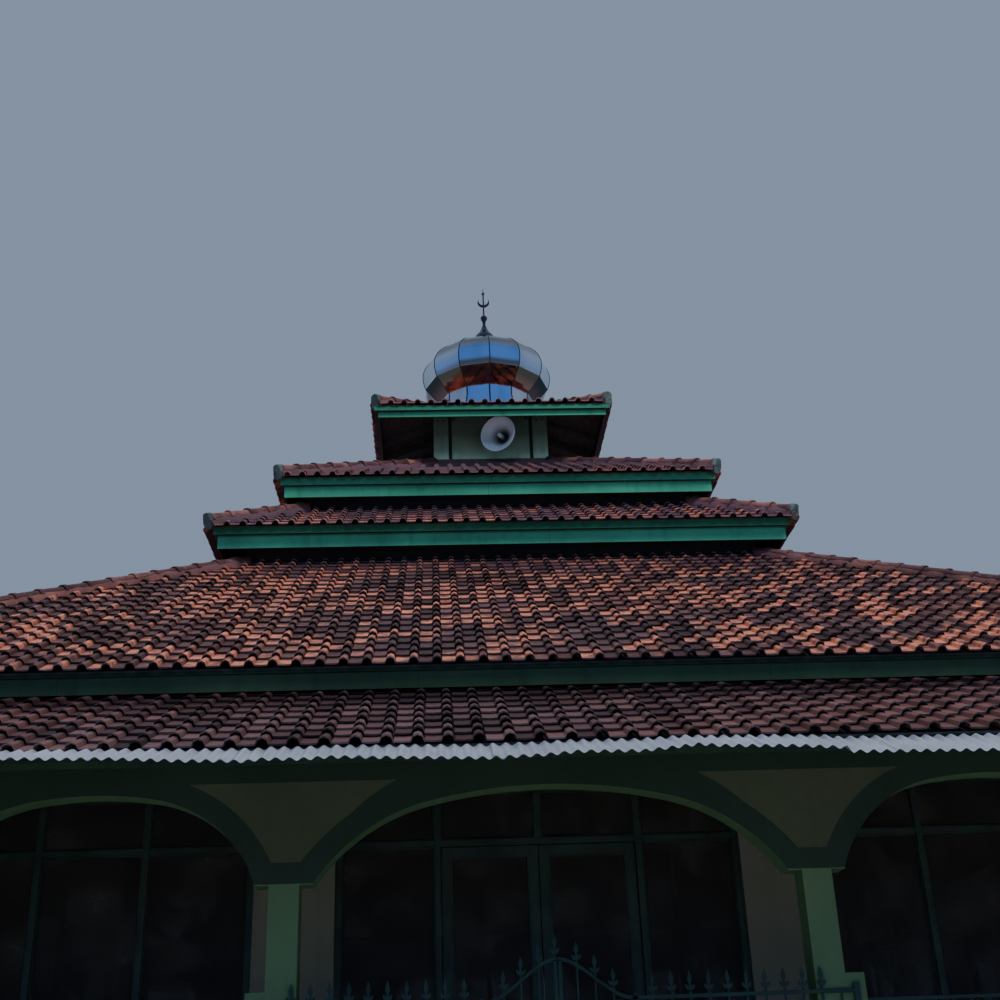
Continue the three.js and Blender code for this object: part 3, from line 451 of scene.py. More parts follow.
def board_paint(name, colour, joint_z, joint_pitch=3.2):
    """Gloss paint on eave boards: faded clouds, dirt runs, butt joints, painted shade on the upper
    board under the tile lips, and near black on the faces that look inwards."""
    f = Finish(name)
    faded = f.clouded(colour, 0.74, 1.22, 1.1, 0.3, 0.72, detail=4.0)
    runs = f.patches(1.6, 0.52, 0.74, stretch=(6.0, 6.0, 0.7), detail=5.0)
    dirty = f.layer(runs, 0.4, faded, shade(colour, 0.4))
    worn = f.patches(9.0, 0.68, 0.74, detail=6.0, roughness=0.65)
    bare = f.layer(worn, 0.5, dirty, (0.12, 0.13, 0.11))
    # painted shade: the upper board is darkened for the shade under the tile lips
    upper = f.times(f.spread(f.z, joint_z, joint_z + 0.004), 0.36)
    upper_board_shaded = f.mix(upper, bare, shade(colour, 0.16))
    along = f.plus(f.x, f.y)
    joint = f.spread(f.math("FRACT", f.math("DIVIDE", along, joint_pitch)), 0.0, 0.0025)
    painted = f.mix(joint, shade(colour, 0.2), upper_board_shaded)
    flat = f.make("ShaderNodeVectorMath", {0: f.place, 1: (1.0, 1.0, 0.0)}, operation="MULTIPLY")
    # the faces that look inwards are made near black
    behind = f.math("LESS_THAN", f.dot(flat.outputs[0], f.facing), 0.3)
    tone = f.mix(behind, painted, (0.045, 0.045, 0.045))
    grain = f.noise(5.0, stretch=(0.6, 0.6, 14.0), detail=4.0)
    height = f.plus(f.times(grain, 0.4), joint)
    rough = f.uneven(7.0, 0.38, 0.62)
    return f.done(tone, rough, f.relief(height, 0.5, 0.003), Specular_IOR_Level=0.2)


def joinery_paint(name, colour):
    f = Finish(name)
    cloudy = f.clouded(colour, 0.75, 1.3, 3.0, 0.3, 0.7)
    scuffs = f.patches(26.0, 0.64, 0.72, detail=5.0)
    worn = f.layer(scuffs, 0.5, cloudy, (0.09, 0.12, 0.09))
    grain = f.noise(9.0, stretch=(5.0, 5.0, 0.6), detail=4.0)
    rough = f.uneven(14.0, 0.3, 0.5)
    return f.done(worn, rough, f.relief(grain, 0.25, 0.002), Specular_IOR_Level=0.25)


def window_glass(name):
    """Glass with a film of dust, tinted dark brown and mostly opaque: painted shade for the dark
    room behind it.
    """
    f = Finish(name)
    dust = f.patches(3.5, 0.45, 0.8, detail=5.0)
    # painted shade: the dark brown tone stands for the dark room seen through the glass
    tone = f.mix(dust, (0.060, 0.052, 0.042), (0.105, 0.094, 0.076))
    rough = f.plus(f.times(dust, 0.12), 0.03)
    alpha = f.plus(f.times(dust, 0.2), 0.66)
    f.put(f.shader.inputs["Alpha"], alpha)
    return f.done(tone, rough, f.relief(f.noise(1.3, detail=1.0), 0.12, 0.01),
                  Specular_IOR_Level=0.06)


def fence_paint(name, colour):
    """Gloss teal, chipped to primer and rust in small spots."""
    f = Finish(name)
    faded = f.clouded(colour, 0.7, 1.3, 4.0, 0.3, 0.7)
    chips = f.patches(38.0, 0.66, 0.7, detail=6.0, roughness=0.6)
    rust = f.mix(f.noise(60.0), (0.09, 0.028, 0.012), (0.20, 0.075, 0.03))
    tone = f.mix(chips, faded, rust)
    rough = f.plus(f.times(chips, 0.4), 0.36)
    height = f.math("SUBTRACT", f.times(f.noise(70.0), 0.3), chips)
    return f.done(tone, rough, f.relief(height, 0.4, 0.001), Metallic=0.15)


def clay_finish(name, colours):
    """Weathered clay in random tones and bright patches; painted shadows, and lips painted lit or
    dark.
    """
    f = Finish(name)
    tone, reach = f.own("tone"), f.own("reach")
    grime = f.mix(tone, shade(colours.clay, 0.36), shade(colours.clay, 1.75))
    clouds = f.patches(0.55, 0.38, 0.68, detail=3.0)
    warm = f.layer(clouds, 0.3, grime, shade(colours.fresh_clay, 0.3))
    upper = f.spread(f.z, *UPPER_ROOFS)
    tinted = f.layer(upper, 0.6, warm, (0.14, 0.056, 0.076))
    # groups of tiles in bright terracotta patches, none below the main eave's shadow
    groups = f.patches(1.1, 0.40, 0.62, detail=2.0)
    chosen = f.spread(f.plus(tone, f.times(groups, 0.62)), 0.80, 1.06)
    bright_patches = f.patches(8.0, 0.38, 0.53, detail=5.0, roughness=0.6)
    outside_eave_shadow = f.spread(f.z, EAVE_SHADOW_Z, EAVE_SHADOW_Z + 0.4)
    bare = f.times(f.times(bright_patches, chosen), outside_eave_shadow)
    bright_clay = f.mix(f.noise(5.0), shade(colours.fresh_clay, 0.45), shade(colours.fresh_clay, 1.35))
    patched = f.layer(bare, 0.92, tinted, bright_clay)
    lichen = f.patches(34.0, 0.62, 0.72, detail=6.0, roughness=0.7)
    spotted = f.layer(lichen, 0.4, patched, (0.20, 0.17, 0.165))
    # painted light and shade on the lips: near black on some tiles, pale on others, pinkish pale on
    # the upper roofs
    lip_lit_and_shaded = f.mix(tone, shade(colours.clay, 0.25), (0.26, 0.18, 0.165))
    rim = f.mix(upper, lip_lit_and_shaded, (0.34, 0.22, 0.22))
    edge = f.spread(reach, 0.0, 0.04, 0.8, 0.0)
    lips_painted = f.mix(edge, spotted, rim)
    # painted shadow: each tile's upper part darkens where the course above shades it
    painted_shade = f.spread(reach, 0.52, 0.84, 0.0, 0.85)
    # painted shadow of the main roof's eaves on the veranda's top rows
    eave_shadow = f.times(f.spread(f.out, 8.75, 9.2, 0.85, 0.0),
                        f.spread(f.z, EAVE_SHADOW_Z, EAVE_SHADOW_Z + 0.15, 1.0, 0.0))
    shadow = f.math("MAXIMUM", painted_shade, eave_shadow)
    tone_out = f.mix(shadow, lips_painted, shade(colours.clay, 0.22))
    pits = f.plus(f.noise(70.0, detail=4.0), f.times(lichen, 0.5))
    rough = f.uneven(11.0, 0.62, 0.86)
    return f.done(tone_out, rough, f.relief(pits, 0.55, 0.004))


def cap_finish(name, colours):
    """Hip caps: the tiles' clay with more of the mortar's red."""
    f = Finish(name)
    tone = f.own("tone")
    base = f.mix(tone, shade(colours.clay, 0.8), shade(colours.mortar, 1.25))
    grime = f.patches(5.0, 0.42, 0.66, detail=5.0)
    dirty = f.layer(grime, 0.75, base, shade(colours.clay, 0.5))
    lichen = f.patches(30.0, 0.6, 0.7, detail=6.0)
    spotted = f.layer(lichen, 0.4, dirty, (0.24, 0.20, 0.19))
    return f.done(spotted, 0.8, f.relief(f.noise(60.0, detail=4.0), 0.55, 0.004))


def mortar_finish(name, colour):
    f = Finish(name)
    cloudy = f.clouded(colour, 0.6, 1.3, 3.2, 0.32, 0.7, detail=4.0)
    grime = f.patches(1.5, 0.5, 0.72, detail=5.0)
    greyed = f.layer(f.spread(f.z, *UPPER_ROOFS), 0.75, cloudy, (0.135, 0.080, 0.100))
    tone = f.layer(grime, 0.6, greyed, (0.05, 0.04, 0.045))
    height = f.plus(f.times(f.noise(9.0), 2.0), f.noise(80.0, detail=3.0))
    return f.done(tone, 0.85, f.relief(height, 0.6, 0.006))


def plug_finish(name, colour):
    """Pale green wash on the closed ends of the hips."""
    f = Finish(name)
    tone = f.clouded(colour, 0.45, 0.95, 6.0, 0.35, 0.7, detail=4.0)
    return f.done(tone, 0.8, f.relief(f.noise(50.0, detail=3.0), 0.5, 0.004))


def timber_finish(name, colour):
    """Bare timber darkened by age, with grain along its length."""
    f = Finish(name)
    along = f.noise(7.0, stretch=(1.0, 1.0, 9.0), detail=6.0, roughness=0.65)
    tone = f.mix(f.spread(along, 0.3, 0.7), shade(colour, 0.45), shade(colour, 1.3))
    stains = f.patches(1.4, 0.5, 0.75, detail=4.0)
    aged = f.layer(stains, 0.6, tone, shade(colour, 0.3))
    board = f.math("FRACT", f.math("DIVIDE", f.out, 0.18))
    joint = f.spread(board, 0.0, 0.04)
    height = f.plus(joint, f.times(along, 0.5))
    return f.done(f.mix(joint, shade(colour, 0.12), aged), 0.8, f.relief(height, 0.5, 0.004))


def zinc_finish(name):
    """Pale coated sheet with dust in the troughs and a few rust specks."""
    f = Finish(name)
    base = f.mix(f.patches(2.4, 0.3, 0.7), (0.37, 0.39, 0.43), (0.46, 0.485, 0.53))
    dust = f.patches(5.0, 0.5, 0.75, detail=5.0)
    dusty = f.layer(dust, 0.4, base, (0.33, 0.32, 0.31))
    specks = f.patches(42.0, 0.7, 0.74, detail=5.0)
    tone = f.mix(specks, dusty, (0.22, 0.10, 0.05))
    rough = f.uneven(9.0, 0.34, 0.5)
    return f.done(tone, rough, f.relief(f.noise(5.0), 0.15, 0.003), Metallic=0.35)


def mirror_finish(name):
    """Polished stainless sheet, gently dished and smeared by rain, with painted reflections in its
    colour: dark grey high up, darker on the spire's tip, and brown under the crease of the dome."""
    f = Finish(name)
    smears = f.patches(2.6, 0.45, 0.75, stretch=(1.0, 1.0, 0.35), detail=5.0)
    clean = f.mix(smears, (0.70, 0.74, 0.80), (0.56, 0.59, 0.63))
    # painted reflection: darker grey from 12.06 m up, and darker still on the spire's tip
    level = f.plus(f.z, f.times(f.noise(1.6), 0.12))
    top_reflection = f.mix(f.spread(level, 12.06, 12.26), clean, (0.27, 0.25, 0.24))
    topped = f.mix(f.spread(f.z, 12.62, 12.68), top_reflection, (0.12, 0.105, 0.11))
    # painted reflection: brown under the crease, like the roofs the dome faces
    crease = DOME_EQUATOR - DOME_BELT
    under = f.times(f.spread(f.z, 11.44, 11.45),
                    f.spread(f.z, crease - 0.002, crease + 0.002, 1.0, 0.0))
    roof_reflection = f.mix(f.spread(f.z, 11.5, 11.62), (0.26, 0.15, 0.13), (0.11, 0.11, 0.09))
    rough = f.plus(f.times(smears, 0.10), 0.06)
    dish = f.noise(1.7, detail=1.0)
    return f.done(f.mix(under, topped, roof_reflection), rough, f.relief(dish, 0.3, 0.03), Metallic=1.0)


def seam_finish(name):
    f = Finish(name)
    tone = f.mix(f.noise(20.0), (0.03, 0.032, 0.035), (0.09, 0.09, 0.095))
    return f.done(tone, 0.45, Metallic=0.7)


def dark_metal_finish(name):
    """Dark painted steel with rust bloom."""
    f = Finish(name)
    bloom = f.patches(14.0, 0.55, 0.7, detail=5.0)
    tone = f.layer(bloom, 0.7, (0.035, 0.037, 0.042), (0.13, 0.055, 0.03))
    rough = f.plus(f.times(bloom, 0.35), 0.35)
    return f.done(tone, rough, f.relief(f.noise(60.0), 0.25, 0.002), Metallic=0.6)


def horn_back():
    """The horn's axis, from its mouth to its driver."""
    turn = Matrix.Rotation(-HORN_YAW, 4, "Z") @ Matrix.Rotation(HORN_DIP, 4, "X")
    return (turn @ Vector((0, 1, 0))).normalized()


def horn_finish(name, inner_shade):
    """Pale grey enamel, with painted shade that deepens with the distance behind the mouth."""
    f = Finish(name)
    cloudy = f.mix(f.patches(5.0, 0.35, 0.7), (0.72, 0.88, 0.95), (0.80, 0.93, 0.97))
    dust = f.patches(9.0, 0.5, 0.72, detail=5.0, stretch=(1.0, 1.0, 0.5))
    tone = f.layer(dust, 0.15, cloudy, (0.30, 0.30, 0.28))
    from_mouth = f.make("ShaderNodeVectorMath", {0: f.place, 1: HORN_MOUTH}, operation="SUBTRACT")
    along = f.dot(from_mouth.outputs[0], horn_back())
    depth = f.times(f.spread(along, 0.085, 0.21), inner_shade)
    return f.done(f.mix(depth, tone, (0.030, 0.030, 0.032)),
                  f.uneven(16.0, 0.34, 0.55),
                  f.relief(f.noise(30.0), 0.12, 0.002), Coat_Weight=0.2)


def concrete_finish(name):
    f = Finish(name)
    clouds = f.mix(f.patches(1.2, 0.3, 0.7, detail=5.0), (0.22, 0.22, 0.20), (0.36, 0.36, 0.33))
    stains = f.patches(4.0, 0.55, 0.72, detail=5.0)
    tone = f.layer(stains, 0.5, clouds, (0.12, 0.12, 0.10))
    height = f.plus(f.noise(60.0, detail=4.0), f.times(f.noise(3.0), 2.0))
    return f.done(tone, 0.82, f.relief(height, 0.4, 0.005))


def stage_finish(name):
    f = Finish(name)
    tone = f.mix(f.noise(0.4), (0.44, 0.44, 0.43), (0.47, 0.47, 0.46))
    return f.done(tone, 0.9)


FINISHES = {
    "arcade_plaster": arcade_plaster,
    "green_plaster": lambda n, c: plain_plaster(n, c.column),
    "panel_plaster": lambda n, c: plain_plaster(n, c.panel, 0.0),
    "wall_plaster": lambda n, c: plain_plaster(n, c.wall),
    "lantern_boards": lambda n, c: lantern_boards(n, c.lantern),
    # dark strips on the lantern: painted shade beside its posts
    "lantern_strip": lambda n, c: joinery_paint(n, c.band),
    "veranda_boards": lambda n, c: board_paint(n, c.dark_eave, VERANDA.joint),
    "main_boards": lambda n, c: board_paint(n, c.dark_eave, MAIN.joint),
    "third_boards": lambda n, c: board_paint(n, c.eave, THIRD.joint),
    "second_boards": lambda n, c: board_paint(n, c.eave, SECOND.joint),
    "crown_boards": lambda n, c: board_paint(n, c.eave, CROWN.joint),
    "joinery": lambda n, c: joinery_paint(n, c.joinery),
    "glass": lambda n, c: window_glass(n),
    "fence": lambda n, c: fence_paint(n, c.fence),
    "clay": clay_finish,
    "cap_clay": cap_finish,
    "mortar": lambda n, c: mortar_finish(n, c.mortar),
    "hip_plug": lambda n, c: plug_finish(n, (0.15, 0.22, 0.19)),
    "timber": lambda n, c: timber_finish(n, (0.075, 0.075, 0.078)),
    # painted shade: the walls between the roofs are made near black for the deep shade under the
    # eaves
    "dark_wall": lambda n, c: timber_finish(n, (0.024, 0.026, 0.031)),
    "zinc": lambda n, c: zinc_finish(n),
    "mirror": lambda n, c: mirror_finish(n),
    "seam": lambda n, c: seam_finish(n),
    "dark_metal": lambda n, c: dark_metal_finish(n),
    # painted shade: the horn and its lining darken behind the mouth
    "horn": lambda n, c: horn_finish(n, 0.5),
    "horn_inside": lambda n, c: horn_finish(n, 0.97),
    "concrete": lambda n, c: concrete_finish(n),
    "stage": lambda n, c: stage_finish(n),
}


def finish(name):
    """The material of that name, made on its first use."""
    label = f"mosque {name}"
    found = bpy.data.materials.get(label)
    return found or FINISHES[name](label, bpy.context.scene.mosque_colours)


def dress(node, finish_name):
    """A CAD node stays, with a new material."""
    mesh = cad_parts[node].data
    mesh.materials.clear()
    mesh.materials.append(finish(finish_name))


# Shapes
def span(sign, a, b):
    """Two distances from the middle line as a rising pair of X, on the side of the sign."""
    return sorted((sign * a, sign * b))


class Shape:
    """Closed solids collected for one piece."""

    def __init__(self):
        self.bm = bmesh.new()

    def skin(self, rings, closed=False):
        """A solid lofted through rings of equal count, capped unless it closes on itself."""
        rows = [[self.bm.verts.new(point) for point in ring] for ring in rings]
        pairs = list(zip(rows, rows[1:]))
        if closed:
            pairs.append((rows[-1], rows[0]))
        for low, high in pairs:
            for i, corner in enumerate(low):
                j = (i + 1) % len(low)
                self.bm.faces.new((corner, low[j], high[j], high[i]))
        if not closed:
            self.bm.faces.new(list(reversed(rows[0])))
            self.bm.faces.new(rows[-1])

    def block(self, x0, x1, y0, y1, z0, z1):
        rings = [[(x0, y0, z), (x1, y0, z), (x1, y1, z), (x0, y1, z)] for z in (z0, z1)]
        self.skin(rings)

    def plate(self, outline, y0, y1, place=Matrix()):
        """An outline in X and Z, given thickness from y0 to y1."""
        rings = [[place @ Vector((x, y, z)) for x, z in outline] for y in (y0, y1)]
        self.skin(rings)

    def turned(self, profile, sides, phase=0.0, place=Matrix()):
        """A half section of radii and heights turned about Z. It starts and ends on the axis, or
        closes on itself."""
        on_axis = profile[0][0] == 0
        middle = profile[1:-1] if on_axis else profile
        rows = []
        for k in range(sides):
            a = phase + 2 * math.pi * k / sides
            ring = [Vector((r * math.sin(a), -r * math.cos(a), z)) for r, z in middle]
            rows.append([self.bm.verts.new(place @ point) for point in ring])
        for low, high in zip(rows, rows[1:] + rows[:1]):
            last = len(low) if not on_axis else len(low) - 1
            for i in range(last):
                j = (i + 1) % len(low)
                self.bm.faces.new((low[i], low[j], high[j], high[i]))
        if on_axis:
            for end, at in ((profile[0], 0), (profile[-1], -1)):
                pole = self.bm.verts.new(place @ Vector((0, 0, end[1])))
                for low, high in zip(rows, rows[1:] + rows[:1]):
                    self.bm.faces.new((low[at], high[at], pole))

    def trim(self, planes):
        trim_solids(self.bm, planes)

    def mesh(self, name):
        bmesh.ops.recalc_face_normals(self.bm, faces=self.bm.faces)
        made = bpy.data.meshes.new(name)
        self.bm.to_mesh(made)
        self.bm.free()
        return made

    def piece(self, name, slot, finish_name, body="building", bevel=0.0, smooth=None):
        return piece_of(self.mesh(name), name, slot, finish_name, body, bevel, smooth)

    def side_piece(self, name, side, slot, finish_name, **options):
        """A piece drawn for the front and turned to its own side."""
        mesh = turned_about(self.mesh(f"{name}_{side}"), SIDES.index(side))
        return piece_of(mesh, mesh.name, slot, finish_name, **options)


def trim_solids(bm, planes):
    """Cuts away what lies in front of each plane (point, normal) and closes the cuts."""
    for point, normal in planes:
        geometry = [*bm.verts, *bm.edges, *bm.faces]
        bmesh.ops.bisect_plane(bm, geom=geometry, dist=1e-6, plane_co=point, plane_no=normal,
                               clear_outer=True)
        rim = [edge for edge in bm.edges if edge.is_boundary]
        bmesh.ops.holes_fill(bm, edges=rim, sides=0)


def piece_of(mesh, name, slot, finish_name, body="building", bevel=0.0, smooth=None):
    """An object from a mesh, with its material and body; the slot is not used."""
    mesh.materials.clear()
    mesh.materials.append(finish(finish_name))
    if smooth is not None:
        mesh.shade_smooth()
        mesh.set_sharp_from_angle(angle=math.radians(smooth))
    made = bpy.data.objects.new(name, mesh)
    bpy.context.scene.collection.objects.link(made)
    if bevel:
        rounding = made.modifiers.new("Rounded edges", "BEVEL")
        rounding.width = bevel
        rounding.segments = 1
        rounding.limit_method = "ANGLE"
    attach(made, body)
    return made


def turned_about(mesh, quarters):
    """The mesh after quarter turns about the building's axis."""
    mesh.transform(Matrix.Rotation(quarters * QUARTER, 4, "Z"))
    return mesh


def four_sides(mesh):
    """One mesh made of the given one and its three quarter turns."""
    bm = bmesh.new()
    for quarters in range(4):
        bm.from_mesh(turned_about(mesh.copy(), quarters))
    made = bpy.data.meshes.new(mesh.name)
    bm.to_mesh(made)
    bm.free()
    return made


def square_ring(shape, profile):
    """A square ring with mitred corners, from half-widths and heights."""
    rings = []
    for x, y in ((-1, -1), (1, -1), (1, 1), (-1, 1)):
        rings.append([(x * half, y * half, z) for half, z in profile])
    shape.skin(rings, closed=True)


# Rows of copies
COPY_INPUTS = {
    "Piece": "NodeSocketObject",
    "Columns": "NodeSocketInt",
    "Rows": "NodeSocketInt",
    "Column Step": "NodeSocketVector",
    "Row Step": "NodeSocketVector",
    "Place Jitter": "NodeSocketVector",
    "Turn Jitter": "NodeSocketVector",
    "Seed": "NodeSocketInt",
    "Finish": "NodeSocketMaterial",
}


def copies_tree():
    """Geometry nodes that lay copies of a piece in columns and rows, each a little out of line,
    and give each copy a random tone."""
    found = bpy.data.node_groups.get("rows_of_copies")
    if found:
        return found
    tree = bpy.data.node_groups.new("rows_of_copies", "GeometryNodeTree")
    for name, kind in COPY_INPUTS.items():
        tree.interface.new_socket(name=name, in_out="INPUT", socket_type=kind)
    tree.interface.new_socket(name="Geometry", in_out="OUTPUT", socket_type="NodeSocketGeometry")
    n = Nodes(tree)
    given = n.make("NodeGroupInput").outputs
    index = n.make("GeometryNodeInputIndex").outputs[0]
    row = n.math("FLOOR", n.math("DIVIDE", n.plus(index, 0.5), given["Columns"]))
    column = n.math("SUBTRACT", index, n.times(row, given["Columns"]))

    def vector(operation, a, b, scale=None):
        inputs = {0: a} if b is None else {0: a, 1: b}
        node = n.make("ShaderNodeVectorMath", inputs, operation=operation)
        if scale is not None:
            n.put(node.inputs["Scale"], scale)
        return node.outputs[0]

    def random_vector(seed_shift):
        node = n.make("FunctionNodeRandomValue", data_type="FLOAT_VECTOR")
        n.put(node.inputs[0], (-1.0, -1.0, -1.0))
        n.put(node.inputs[1], (1.0, 1.0, 1.0))
        n.put(node.inputs["Seed"], n.plus(given["Seed"], seed_shift))
        return node.outputs[0]

    across = vector("SCALE", given["Column Step"], None, column)
    up = vector("SCALE", given["Row Step"], None, row)
    straight = vector("ADD", across, up)
    place = vector("ADD", straight, vector("MULTIPLY", random_vector(1), given["Place Jitter"]))
    count = n.times(given["Columns"], given["Rows"])
    points = n.make("GeometryNodePoints", {"Count": count, "Position": place})
    piece = n.make("GeometryNodeObjectInfo", {"Object": given["Piece"], "As Instance": True})
    turn = vector("MULTIPLY", random_vector(2), given["Turn Jitter"])
    laid = n.make("GeometryNodeInstanceOnPoints", {
        "Points": points.outputs[0], "Instance": piece.outputs["Geometry"], "Rotation": turn})
    tone = n.make("FunctionNodeRandomValue", data_type="FLOAT")
    n.put(tone.inputs["Seed"], n.plus(given["Seed"], 3))
    tone_value = [socket for socket in tone.outputs if socket.type == "VALUE"][0]
    stored = n.make("GeometryNodeStoreNamedAttribute", {
        "Geometry": laid.outputs[0], "Name": "tone"}, data_type="FLOAT", domain="INSTANCE")
    value = [s for s in stored.inputs if s.name == "Value" and s.type == "VALUE"][0]
    n.put(value, tone_value)
    real = n.make("GeometryNodeRealizeInstances", {"Geometry": stored.outputs[0]})
    painted = n.make("GeometryNodeSetMaterial", {
        "Geometry": real.outputs[0], "Material": given["Finish"]})
    n.make("NodeGroupOutput", {"Geometry": painted.outputs[0]})
    return tree


def rows_of_copies(template, finish_name, columns, column_step, rows=1, row_step=(0, 0, 0),
                   place_jitter=(0, 0, 0), turn_jitter=(0, 0, 0), seed=0):
    """A plain mesh of copies of a template mesh, made by geometry nodes."""
    values = {
        "Columns": columns, "Rows": rows, "Column Step": column_step, "Row Step": row_step,
        "Place Jitter": place_jitter, "Turn Jitter": turn_jitter, "Seed": seed,
        "Finish": finish(finish_name),
    }
    scene = bpy.context.scene
    piece = bpy.data.objects.new("one_copy", template)
    carrier = bpy.data.objects.new("copies", bpy.data.meshes.new("copies"))
    for thing in (piece, carrier):
        scene.collection.objects.link(thing)
    values["Piece"] = piece
    modifier = carrier.modifiers.new("Copies", "NODES")
    modifier.node_group = copies_tree()
    for item in modifier.node_group.interface.items_tree:
        if item.in_out == "INPUT":
            modifier[item.identifier] = values[item.name]
    carrier.update_tag()
    graph = bpy.context.evaluated_depsgraph_get()
    mesh = bpy.data.meshes.new_from_object(carrier.evaluated_get(graph))
    carrier.modifiers.remove(modifier)
    for thing in (piece, carrier):
        bpy.data.objects.remove(thing)
    return mesh


# Roof
def tile_z(tier, half):
    """Height of the tiles' bed where the roof is that many metres from the middle."""
    return tier.eave_z + (tier.eave - half) * tier.rise


def slope_angle(tier):
    return math.atan(tier.rise)


def shell_strip(bm, sections, thickness, reach=None):
    """A thin closed sheet through open sections (lists of points), thick downwards."""
    layer = bm.verts.layers.float.get("reach") or bm.verts.layers.float.new("reach")
    rows = []
    for k, section in enumerate(sections):
        top = [bm.verts.new(point) for point in section]
        under = [bm.verts.new((x, y, z - thickness)) for x, y, z in section]
        for vert in (*top, *under):
            vert[layer] = reach[k] if reach else 0.0
        rows.append([*top, *reversed(under)])
    for low, high in zip(rows, rows[1:]):
        for i, corner in enumerate(low):
            j = (i + 1) % len(low)
            bm.faces.new((corner, low[j], high[j], high[i]))
    half = len(rows[0]) // 2
    for row, flip in ((rows[0], True), (rows[-1], False)):
        for i in range(half - 1):
            quad = (row[i], row[i + 1], row[-2 - i], row[-1 - i])
            bm.faces.new(quad[::-1] if flip else quad)


def roll_tile(sizes, cover):
    """One clay tile: a flat pan and a round roll that widens towards its lower end."""
    roll_at = cover * 0.776
    # Place along the tile, drop, and half-width and height of the roll
    ends = (
        (0.0, 0.007, cover * 0.219, sizes.roll_height),
        (sizes.length, -0.017, cover * 0.171, sizes.roll_height * 0.7),
    )
    sections = []
    for y, drop, half, height in ends:
        section = [(0.0, y, drop), (cover * 0.28, y, drop - 0.003)]
        for k in range(5):
            a = math.pi * k / 4
            section.append((roll_at - half * math.cos(a), y, drop + height * math.sin(a)))
        sections.append(section)
    shape = Shape()
    shell_strip(shape.bm, sections, sizes.thickness, (0.0, 1.0))
    return shape.mesh("roll_tile")


def tile_slope(tier, side, sizes):
    """One slope of tiles, cut to its hips and to the wall above."""
    cosine = math.cos(slope_angle(tier))
    cover = sizes.veranda_cover if tier is VERANDA else sizes.cover
    courses = math.ceil((tier.eave - tier.top) / cosine / sizes.exposure)
    columns = 2 * math.ceil(tier.eave / cover) + 2
    play = sizes.unevenness
    mesh = rows_of_copies(
        roll_tile(sizes, cover), "clay", columns, (cover, 0, 0), courses, (0, sizes.exposure, 0),
        (play * 0.5, play, play * 0.5), (play * 2, play * 2, play * 3),
        sizes.seed + 10 * SIDES.index(side) + 50 * TIERS.index(tier))
    start = Matrix.Translation((tier.shift - columns * cover / 2, -tier.eave, tier.eave_z))
    mesh.transform(start @ Matrix.Rotation(slope_angle(tier), 4, "X"))
    planes = [*MITRES]
    for sign in (1, -1):
        ahead = Vector((sign, 1, tier.rise)).normalized()
        corner = Vector((-sign * tier.eave, -tier.eave, tier.eave_z))
        planes.append((corner + ahead * hip_start(tier), -ahead))
    if tier.top > 0:
        planes.append(((0, -tier.top - WALL_GAP, 0), (0, 1, 0)))
    return turned_about(trimmed(mesh, planes, tier is CROWN), SIDES.index(side))


def trimmed(mesh, planes, at_collar=False):
    """The mesh, cut at the planes and where the dome's collar stands."""
    bm = bmesh.new()
    bm.from_mesh(mesh)
    trim_solids(bm, planes)
    if at_collar:
        cut_round_collar(bm)
    bmesh.ops.recalc_face_normals(bm, faces=bm.faces)
    bm.to_mesh(mesh)
    bm.free()
    return mesh


def cut_round_collar(bm):
    """Drops the tiles that would lie inside the dome's collar."""
    inside = [v for v in bm.verts if math.hypot(v.co.x, v.co.y) < COLLAR_CLEAR - 0.25]
    bmesh.ops.delete(bm, geom=inside, context="VERTS")
    rim = [edge for edge in bm.edges if edge.is_boundary]
    bmesh.ops.holes_fill(bm, edges=rim, sides=0)


def hip_matrix(tier):
    """The front left hip's own frame: X to its side, Y up along it, Z out of the roof."""
    ahead = Vector((1, 1, tier.rise)).normalized()
    side = Vector((1, -1, 0)).normalized()
    above = side.cross(ahead)
    turn = Matrix((side, ahead, above)).transposed().to_4x4()
    return Matrix.Translation((-tier.eave, -tier.eave, tier.eave_z)) @ turn


def hip_length(tier):
    """Length of a hip from the corner of the tiles to the wall above."""
    run = tier.eave - tier.hip_stop
    return run * math.sqrt(2 + tier.rise ** 2)


def hip_start(tier):
    """Where the hip's closed end stands, measured along the hip from the corner of the tiles."""
    return HIP_SETBACK * math.sqrt(2 + tier.rise ** 2)


def eave_planes(tier):
    """The upright planes just inside the eave, where the front left hip ends."""
    edge = tier.eave - EAVE_INSET
    return [((-edge, 0, 0), (-1, 0, 0)), ((0, -edge, 0), (0, -1, 0))]


def stop_planes(tier):
    """The upright planes of the wall that ends the front left hip."""
    stop = tier.hip_stop + WALL_GAP
    if tier is CROWN:
        reach = COLLAR_CLEAR * DIAGONAL
        return [((-reach, -reach, 0), (1, 1, 0))]
    return [((-stop, -stop, 0), (1, 1, 0))]


def cap_arch(half, height, foot, y, steps=6):
    """A half ellipse across the hip."""
    angles = [math.pi * k / steps for k in range(steps + 1)]
    return [(-half * math.cos(a), y, foot + height * math.sin(a)) for a in angles]


def hip_cap(sizes):
    """One half-round hip cap with a collar at its lower end."""
    shape = Shape()
    length = sizes.cap_spacing + 0.03
    body = [cap_arch(0.096, 0.076, 0.060, 0.0), cap_arch(0.090, 0.068, 0.057, length)]
    collar = [cap_arch(0.109, 0.096, 0.055, -0.012), cap_arch(0.107, 0.092, 0.055, 0.034)]
    shell_strip(shape.bm, body, 0.013, (0.3, 0.3))
    shell_strip(shape.bm, collar, 0.020, (0.0, 0.2))
    return shape.mesh("hip_cap")


def in_place_on_hips(tier, mesh, planes):
    """A mesh in the hip's own frame, placed, trimmed and repeated on the four hips."""
    flatten = Matrix.Diagonal((1.0, 1.0, tier.crest / FULL_CREST, 1.0))
    mesh.transform(hip_matrix(tier) @ flatten)
    return four_sides(trimmed(mesh, planes))


